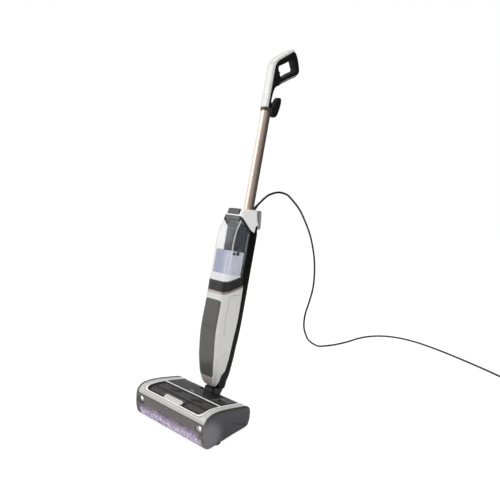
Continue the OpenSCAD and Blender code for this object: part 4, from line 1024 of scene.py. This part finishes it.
# ---------------------------------------------------------------- spine
# The black backbone: a closed box from the foot to the shoulder, hollow for the motor, the pump and
# the clean water tank, whose smooth black back lies flush in its rear face.
SPINE_FRONT = [(2, 32.5), (-3.5, 44), (-7.7, 77), (-5.7, 80.5), (0.3, 84.6), (3.3, 92), (6.3, 119),
               (11.3, 188), (16.3, 247), (15.3, 312), (14.3, 352), (12.5, 364), (5.6, 384), (5.6, 526)]
SPINE_LOW, SPINE_CORNER, SPINE_HALF = 32.5, 22.0, 43.0
BAY_X, BAY_LOW, BAY_TOP = 29.0, 215.0, 470.0
spine_front = profile(SPINE_FRONT)


def spine_top(y):
    """The spine's upper border: it falls a little to the rear, then steps up behind the shoulder."""
    return np.interp(y, [5.6, 24, 27.5, 47], [525.6, 519.2, 541.0, 547.5])


def spine_loop(rows):
    """A closed loop whose front is flat and whose rear corners are round. Rows 0 to 1 run from the foot to
    the top of the water tank's bay, rows 1 to 2 on to the upper border; one column lies on the bay's side."""
    bay = math.acos((BAY_X - SPINE_HALF + SPINE_CORNER) / SPINE_CORNER) / (np.pi / 2)
    half = np.concatenate([np.linspace(0, 1, 5), 1 + np.linspace(0, 1, 13)[1:],
                           2 + bay * np.linspace(0, 1, 11)[1:],
                           2 + bay + (1 - bay) * np.linspace(0, 1, 4)[1:],
                           3 + np.linspace(0, 1, 7)[1:]])[None, :]
    part = np.minimum(np.floor(half + 1e-9), 3)
    t = half - part
    stretch = [part == 0, part == 1, part == 2]
    v = np.asarray(rows, float)[:, None] + 0 * half
    y, z = 20 + 0 * v, 300 + 0 * v
    for _ in range(24):
        upper = BAY_TOP + (v - 1) * (spine_top(y) - BAY_TOP)
        z = (z + np.where(v <= 1, SPINE_LOW + v * (BAY_TOP - SPINE_LOW), upper)) / 2
        a, b, w = spine_front(z), rear_at(z), np.maximum(width_at(z), np.interp(z, [60, 90], [31, 0]))
        r = np.minimum(SPINE_CORNER, np.minimum(0.9 * w, 0.9 * (b - a)))
        x = np.select(stretch, [t * w, w, w - r + r * np.cos(t * np.pi / 2)], (1 - t) * (w - r))
        y = np.select(stretch, [a, a + t * (b - r - a), b - r + r * np.sin(t * np.pi / 2)], b)
    return both_sides(x, y, z)


bay_row = (BAY_LOW - SPINE_LOW) / (BAY_TOP - SPINE_LOW)
loop = spine_loop(np.unique(np.concatenate([even(10) * 0.1, 0.1 + even(24) * (bay_row - 0.1),
                                            bay_row + even(24) * (1 - bay_row), 1 + even(8)])))
cells = (loop + np.roll(loop, -1, 1))[:-1] / 2
cell_z = (loop[:-1, :, 2] + loop[1:, :, 2]) / 2
walls = ~((np.abs(cells[..., 0]) < BAY_X) & (cells[..., 1] > 25) & (cell_z > BAY_LOW) & (cell_z < BAY_TOP))
spine = build("black_spine", solid(leaned(loop), np.pad(walls, ((1, 1), (0, 0)), constant_values=True)))
black_gloss = finish("black_gloss", (0.006, 0.006, 0.0065), 0.42, mottle=0.1, grain=0.05, specular=0.15)
dress(spine, black_gloss, "spine", 2.6)

# ---------------------------------------------------------------- clean water tank and inner works
# Behind: the black clean water tank with its screw cap, flush in the spine. Inside the white shell:
# suction motor with its fan, water pump and control board.
repaint(black_gloss, "clean_tank")
cap_grey = finish("grey_satin", (0.31, 0.315, 0.315), 0.4, grain=0.05)
repaint(cap_grey, "clean_cap")
repaint(motor_steel, "suction_motor")
repaint(finish("cast_light", (0.6, 0.6, 0.62), 0.35, metal=0.8, grain=0.1), "motor_fan")
repaint(grey_plastic, "pump")
repaint(finish("green_board", (0.02, 0.1, 0.045), 0.35, coat=0.3, mottle=0.3, patch=180, grain=0.1),
        "control_board")

# ---------------------------------------------------------------- dirty water tank
# A clear moulded tank that stands on the band and lifts out forwards: walls of one thickness, soft
# corners, a slanted top. In it: white strainer, frosted filter housing and blue-black separator.
TANK_REAR, TANK_CORNER = 5.2, 4.0


def tank_low(y):
    """The tank's lower border, on the dark band."""
    return band_z(y) + 28.1


def tank_top(y):
    """The tank's upper border, under the dark lid."""
    return lid_z(y) - 11.0


def drawn_in(row, shares):
    """Closes a loop: copies of it drawn towards its middle, each keeping a share of its size."""
    middle = row.mean(1, keepdims=True)
    return [middle + (row - middle) * share for share in shares]


def tank_finish():
    """Clear, and more solid where the wall turns away from the eye. A painted highlight, a pale streak 2.2 mm
    wide, stands out at 35.5 mm to the right of the middle, above 445 mm: a painted reflection on the corner."""
    paint = clear("clear_tank", (0.42, 0.44, 0.48), 0.03, 0.04, coat=1.0)
    tree, add = node_tree(paint, empty=False)
    x, y, z = add("SeparateXYZ", Vector=add("TexCoord").outputs["Object"]).outputs
    # painted highlight: a pale streak at 35.5 mm, above 445 mm, stands in for light reflected on the tank's
    # corner
    line = maths(add, "COMPARE", x, 0.0355, 0.0011)
    painted_streak_alpha = fade(add, maths(add, "MULTIPLY", line, fade(add, z, 0.445, 0.46)), 0, 1, 0, 0.5)
    edge = fade(add, add("LayerWeight", Blend=0.12).outputs["Facing"], 0, 1, 0.03, 0.55)
    shader = two_tone(paint, add, line, (0.95, 0.95, 0.96))
    tree.links.new(maths(add, "MAXIMUM", painted_streak_alpha, edge), shader.inputs["Alpha"])
    return paint


def in_tank(rows, low, high, proud, rear):
    """A closed skin that follows the body's outline at the given distance, back to a flat rear wall."""
    return body_skin(even(rows), low, high, rear, TANK_CORNER, proud, True)


def bucket(skin, *top):
    """A skin with its floor closed, and more rows on top where asked."""
    return sleeve(leaned(np.concatenate([*drawn_in(skin[:1], (0.0, 0.5, 0.97)), skin, *top])))


tank = build("clear_dirty_tank", bucket(in_tank(48, tank_low, tank_top, -0.1, TANK_REAR)))
dress(tank, tank_finish(), "dirty_tank", 2.0, 0.4)

strainer = build("white_strainer", solid(leaned(in_tank(6, lambda y: tank_low(y) + 2.4, 383.8, -3.6, 0.4))))
dress(strainer, finish("strainer white", (0.98, 0.98, 0.99), 0.4, mottle=0.01, grain=0.0), "strainer")

# frosted housing: its top is carried inwards to a round hole over the float and turned down there
HOLE_AT, HOLE_R, RIB_SET_IN = np.array([12.0, -22.0]), 9.6, 5.2
skin = in_tank(20, 384.2, 454.5, -6.0, 0.0)
edge_xy, edge_z = skin[-1:, :, :2], skin[-1:, :, 2:]
hole = HOLE_AT + HOLE_R * (edge_xy - HOLE_AT) / np.linalg.norm(edge_xy - HOLE_AT, axis=-1, keepdims=True)
top = [np.concatenate([edge_xy + share * (hole - edge_xy), edge_z + up], -1)
       for share, up in ((0.08, 0.3), (0.5, 0.4), (1.0, 0.4), (1.0, -1.0))]
housing = build("frosted_filter_housing", bucket(skin, *top))
frosted = finish("frosted_white", (0.42, 0.44, 0.6), 0.3, coat=0.4, mottle=0.1, patch=30, grain=0.0)
add = node_tree(frosted, empty=False)[1]
x = add("SeparateXYZ", Vector=add("TexCoord").outputs["Object"]).outputs[0]
two_tone(frosted, add, fade(add, x, 0.0, 0.03), (0.7, 0.73, 0.86))
dress(housing, frosted, "filter_housing", 1.0)


def on_housing(col, z):
    """Points on the housing's skin: col is a place along half its outline (0 middle of the front, 1 to 2 the
    corner, 2 to 3 the side)."""
    points = []
    for c, h in zip(np.atleast_1d(col), np.atleast_1d(z)):
        x, y = half_outline(np.array([[h]]), 0.0, TANK_CORNER, -RIB_SET_IN, True, SPLIT)
        points.append((np.interp(c, COL, x[0]), np.interp(c, COL, y[0]), h))
    return np.array(points)


def rib(col, z, radius):
    """A round rib along the housing's skin."""
    return solid(rings_along(leaned(on_housing(col, z)), radius, 8))


arch = smooth_through([(0.9, 386), (0.9, 415), (0.9, 430), (1.0, 437.5), (1.2, 441), (1.6, 442.5),
                       (2.0, 442.5), (2.5, 442.5), (2.82, 441), (2.93, 435), (2.95, 425), (2.95, 405),
                       (2.95, 386)], 6)
housing_ribs = build("filter_housing_ribs", rib(*arch.T, 1.3),
                     *[rib([col] * 8, np.linspace(386, 441, 8), 1.0) for col in (1.5, 2.2, 2.45)])
rib_white = finish("rib white", (0.93, 0.94, 0.97), 0.3, mottle=0.01, grain=0.0)
dress(housing_ribs, rib_white, "filter_housing")


def separator_skin(rows, low=455.0, front=-31.8, rear=-1.0, half=30.5, radius=13.0, rho=4.0):
    """A block with a round-cornered outline, the same at every height, up to 3.5 mm above the tank's border.
    radius is that of its front corners and rho that of its rear ones."""
    a = np.linspace(0, np.pi / 2, 9)
    sides = half - radius + radius * np.sin(a), half - rho + rho * np.cos(a)
    depths = front + radius - radius * np.cos(a), rear - rho + rho * np.sin(a)
    x = np.concatenate([[0, half * 0.4], *sides, [half * 0.4, 0]])
    y = np.concatenate([[front] * 2, *depths, [rear] * 2])
    x, y = np.concatenate([-x[1:-1][::-1], x]), np.concatenate([y[1:-1][::-1], y])
    v = rows[:, None] + 0 * x
    return np.stack([x + 0 * v, y + 0 * v, low + v * (tank_top(y) + 3.5 - low)], -1)[:, ::-1]


block = separator_skin(even(16))
block = np.concatenate([block, *drawn_in(block[-1:], (0.95, 0.5, 0.0))])
separator = build("dark_water_separator", sleeve(leaned(block)))
blue_black = finish("blue_black", (0.016, 0.02, 0.03), 0.14, coat=1.0, mottle=0.2, patch=20, grain=0.0)
dress(separator, blue_black, "separator", 0.6)


def knob(col, z, half):
    """A small round knob on the housing's skin."""
    return sleeve(leaned(soft_block(on_housing(col, z)[0], half, 24, 2.2, 13)))


knobs = build("separator_knobs", knob(1.75, 446.5, (4.4, 4.4, 5.0)), knob(2.25, 448.5, (4.0, 6.4, 6.8)))
dress(knobs, blue_black, "separator")
repaint(blue_black, "float")

lid_skin = in_tank(4, lambda y: lid_z(y) - 10.9, lambda y: lid_z(y) - 0.4, 0.0, TANK_REAR)
lid = build("dark_tank_rim", sleeve(leaned(lid_skin)))
dress(lid, band_dark, "tank_lid", 5.0, 0.7)

# ---------------------------------------------------------------- shoulder and latch
# The white shoulder closes the body at the top and holds the tube; the dark ribbed latch in its
# front is pressed in to free the tank. Its skin stands upright in 17 rows, and 7 more round it in
# over TOP_EDGE. The pocket for the latch reaches from the front back to POCKET_Y.
TOP_EDGE, POCKET_X, POCKET_Y, POCKET_LOW, LATCH_LOW = 6.0, 25.4, -26, 565.8, 566.0
wall_rows = np.concatenate([even(16), np.ones(7)])
edge_a = np.linspace(0, np.pi / 2, 8)[1:]
rise = np.concatenate([np.zeros(17), TOP_EDGE * np.sin(edge_a)])[:, None]
inset = np.concatenate([np.zeros(17), -TOP_EDGE * (1 - np.cos(edge_a))])[:, None]


def shoulder_low(y):
    """The shoulder's lower border: along the lid, then along the spine."""
    front = np.where(y < -41, 562.0, lid_z(y) + 0.6)
    return np.where(y < 5.5, front, np.interp(y, [5.5, 24, 27.5, 47], [526.4, 520.0, 541.8, 548.3]))


def shoulder_top(y):
    """The height at which the upper edge starts to round in; it rises a little to the rear."""
    return 584 + (y + 37) * 8 / 74 - TOP_EDGE


def shoulder_skin(split):
    """The upright wall and the rounded edge above it, with a column at x = split."""
    skin = body_skin(wall_rows, shoulder_low, shoulder_top, lambda z: rear_at(z) + inset, 16.0, inset, True,
                     split)
    skin[..., 2] += rise
    return skin


skin = shoulder_skin(POCKET_X)
whole = np.concatenate([skin, *drawn_in(skin[-1:], (0.85, 0.6, 0.3, 0.0))])
mid_x, mid_y = np.moveaxis((whole[:-1] + np.roll(whole[:-1], -1, 1)) / 2, -1, 0)[:2]
mid_z = (whole[:-1, :, 2] + whole[1:, :, 2]) / 2
in_wall = np.arange(len(whole) - 1)[:, None] < len(skin) - 1
pocket_cells = (np.abs(mid_x) < POCKET_X) & (mid_y < POCKET_Y) & (mid_z > POCKET_LOW) & in_wall
shoulder = build("white_shoulder", sleeve(leaned(whole), ~pocket_cells))
shoulder_white = finish("shoulder white", (0.92, 0.915, 0.9), 0.3, coat=0.3, mottle=0.008, grain=0.0)
dress(shoulder, shoulder_white, "shoulder", 2.8, 0.4)

# the latch is the piece of a slightly narrower skin that fills the gap, with a turned-in upper edge
skin = shoulder_skin(POCKET_X - 0.3)
centre = int(np.argmin(np.abs(skin[0, :, 0]) + (skin[0, :, 1] > 0) * 99))
skin = skin[:, centre - 8:centre + 9]
skin = skin[int(np.argmax(skin[:, 8, 2] > LATCH_LOW)):]
latch = build("dark_tank_latch", leaned(np.concatenate([skin, skin[-1:] + np.array([0, 3.0, 0.4])])))
latch_dark = finish("latch dark", (0.045, 0.042, 0.04), 0.45, coat=0.1, mottle=0.1, grain=0.3, grain_size=500)
dress(latch, latch_dark, "tank_latch", 6.0, 0.7)

# ---------------------------------------------------------------- lower cord hook
# A grey satin hook on the shoulder's back, turned on its round stud; it and the upper hook hold the
# wound cord.
LOWER_HOOK = [(52, 571, 51.6, 535), (55.5, 560, 58, 534.3), (60.2, 547.5, 68, 534.3),
              (62.6, 547.6, 75.4, 534.8), (64.2, 550, 79.5, 541), (62.8, 562, 76.8, 557),
              (61.4, 575, 73.4, 576), (60.4, 588, 70, 590), (61.2, 593.5, 68.6, 594)]
stud_y, a = np.array([[42.0], [56.0]]), circle(48)
stud = np.stack([8 * np.cos(a) + 0 * stud_y, stud_y + 0 * a, 553 + 8 * np.sin(a) + 0 * stud_y], -1)
hook = build("lower_cord_hook", solid(bar(smooth_through(LOWER_HOOK, 8), 18.6, 6.0)), solid(leaned(stud)))
dress(hook, cap_grey, "lower_hook")

# ---------------------------------------------------------------- tube
# The champagne anodised tube from the shoulder to the handle, with a dark moulded collar where the
# handle slides on.
TUBE_Y, TUBE_R = 25.0, 15.5
COLLAR = [(902, 15.6), (902.2, 17.6), (903, 18.3), (904.5, 18.5), (909.5, 18.5), (911, 18.3), (911.6, 17.8),
          (911.7, 15.6)]


def tube_skin(levels, radii):
    """Rings round the tube's axis at the given heights."""
    return solid(leaned(upright_rings(levels, radii, 0, TUBE_Y, 128)[:, ::-1]))


tube = build("champagne_tube_skin", tube_skin([549, *np.linspace(560, 900, 30), 911], [TUBE_R] * 32))
champagne_metal = finish("champagne_tube", (0.8, 0.655, 0.57), 0.47, metal=1.0, mottle=0.02, patch=8,
                         grain=0.0)
dress(tube, champagne_metal, "tube")
dress(build("dark_collar", tube_skin(*zip(*COLLAR))), latch_dark, "tube_collar")

# ---------------------------------------------------------------- handle
# A white front skin runs up the neck and over the top bar, left bare; the soft black grip forms the
# neck's back and the closed loop, with a thin silver strip under its lower bar.
WHITE_FRONT = [(20.4, 912.0, 7.7, 912.0), (20.4, 940, 7.6, 940), (20.4, 980, 7.6, 980),
               (20.4, 1015, 7.6, 1018), (21.2, 1042, 7.9, 1045), (30.4, 1062.4, 12.8, 1059.5),
               (45, 1075.5, 27, 1074.8), (60, 1088.5, 46, 1091.2), (75, 1101, 66, 1107.6),
               (88, 1112, 83, 1121.2), (93.5, 1117.3, 90.5, 1125.6), (98, 1121, 95.5, 1126.2)]
LOOP = [(37.6, 1047.5, 19.6, 1046), (38.2, 1041.5, 17.6, 1030), (46, 1033, 18.5, 1002), (55, 1023.5, 29, 984),
        (58.6, 1020.9, 44, 989.2), (62.8, 1022.9, 52, 995.6), (76, 1034, 72, 1012), (95, 1050, 98, 1031.5),
        (111, 1061.4, 124, 1049.6), (117.4, 1065.9, 137, 1059), (119, 1070.5, 142, 1068),
        (116.8, 1075.5, 141, 1079), (108, 1085, 130.5, 1098.5), (100.6, 1092.6, 118, 1114.5),
        (96.6, 1093.4, 106.5, 1122.3), (93, 1091.3, 94, 1119.5), (80, 1080.8, 74, 1101.5),
        (60, 1064.8, 48, 1080), (43, 1052.8, 27, 1061.5)]
NECK_BACK = [(18.5, 912.3, 28, 912.3), (18.5, 930, 29, 930), (18.5, 950, 30.4, 950), (18.5, 965, 32.5, 965),
             (19, 980, 37, 978), (22, 996, 46, 989)]
handle = build("white_handle_skin", solid(bar(smooth_through(WHITE_FRONT, 10), 13.0, 4.0, 56)[:, ::-1]))
dress(handle, white_gloss, "handle_shell")

loop = smooth_through(LOOP + LOOP[:1], 8)[:-1]
grip_loop = bar(loop, 12.6, 4.5, 44)
grip = build("black_soft_grip", sleeve(np.concatenate([grip_loop, grip_loop[:1]])),
             solid(bar(smooth_through(NECK_BACK, 8), 12.7, 4.5, 44)))
soft_black = finish("black_satin", (0.009, 0.009, 0.0095), 0.5, mottle=0.12, grain=0.25, grain_size=1100,
                    specular=0.25)
dress(grip, soft_black, "handle_grip")

# the strip lies along the lower bar, from 0.82 to 1.15 of the bar's depth
lower_bar = loop[(50 < loop[:, 2]) & (loop[:, 2] < 128) & (loop[:, 3] < 1056)]
near, depth = lower_bar[:, :2], lower_bar[:, 2:] - lower_bar[:, :2]
trim = build("silver_grip_trim", solid(bar(np.hstack([near + 0.82 * depth, near + 1.15 * depth]), 12.9, 5.0)))
silver = finish("silver_trim", (0.55, 0.53, 0.51), 0.3, metal=0.8, mottle=0.05, grain=0.05)
dress(trim, silver, "handle_trim")


def button(side):
    """A round button with a shallow dish, square to the inner face of the grip, which slopes by 48
    degrees."""
    radius, level = np.array([(3.95, -8), (3.95, 0.9), (3.7, 1.35), (3.2, 1.5), (2.0, 1.3),
                              (0.6, 1.2)]).T[:, :, None]
    a, s, c = circle(32), math.sin(math.radians(-48)), math.cos(math.radians(-48))
    v, h = radius * np.sin(a), level + 0 * a
    cap = np.stack([side * 6 + radius * np.cos(a), 48 + v * c - h * s, 1033 + v * s + h * c], -1)
    return solid(leaned(cap[:, ::-1]))


power_grey = finish("power grey", (0.3, 0.3, 0.31), 0.35, grain=0.05)
dress(build("power_button_cap", button(-1)), power_grey, "power_button")
dress(build("mode_button_cap", button(1)), cap_grey, "mode_button")

# ---------------------------------------------------------------- upper cord hook
# The black upper hook, moulded with the soft grip: it grows out of the handle's back just over the
# collar and turns up at its end.
UPPER_HOOK = [(25.0, 943, 25.2, 912.6), (28, 942.2, 31, 912.4), (33, 937.8, 38, 911.6), (37, 931, 44, 905.5),
              (41, 927, 47.4, 899.5), (44.5, 925.6, 54.3, 894.3), (47, 929.0, 64.6, 894.6),
              (49.4, 934.5, 74.4, 902.6), (52.6, 942.2, 79.9, 918.5), (56.4, 949.7, 82.8, 935.2),
              (60.8, 956.3, 83.5, 947), (66.8, 960, 79.8, 957.4)]
upper = build("upper_cord_hook", solid(bar(smooth_through(UPPER_HOOK, 8), 9.6, 3.2)))
dress(upper, soft_black, "upper_hook")
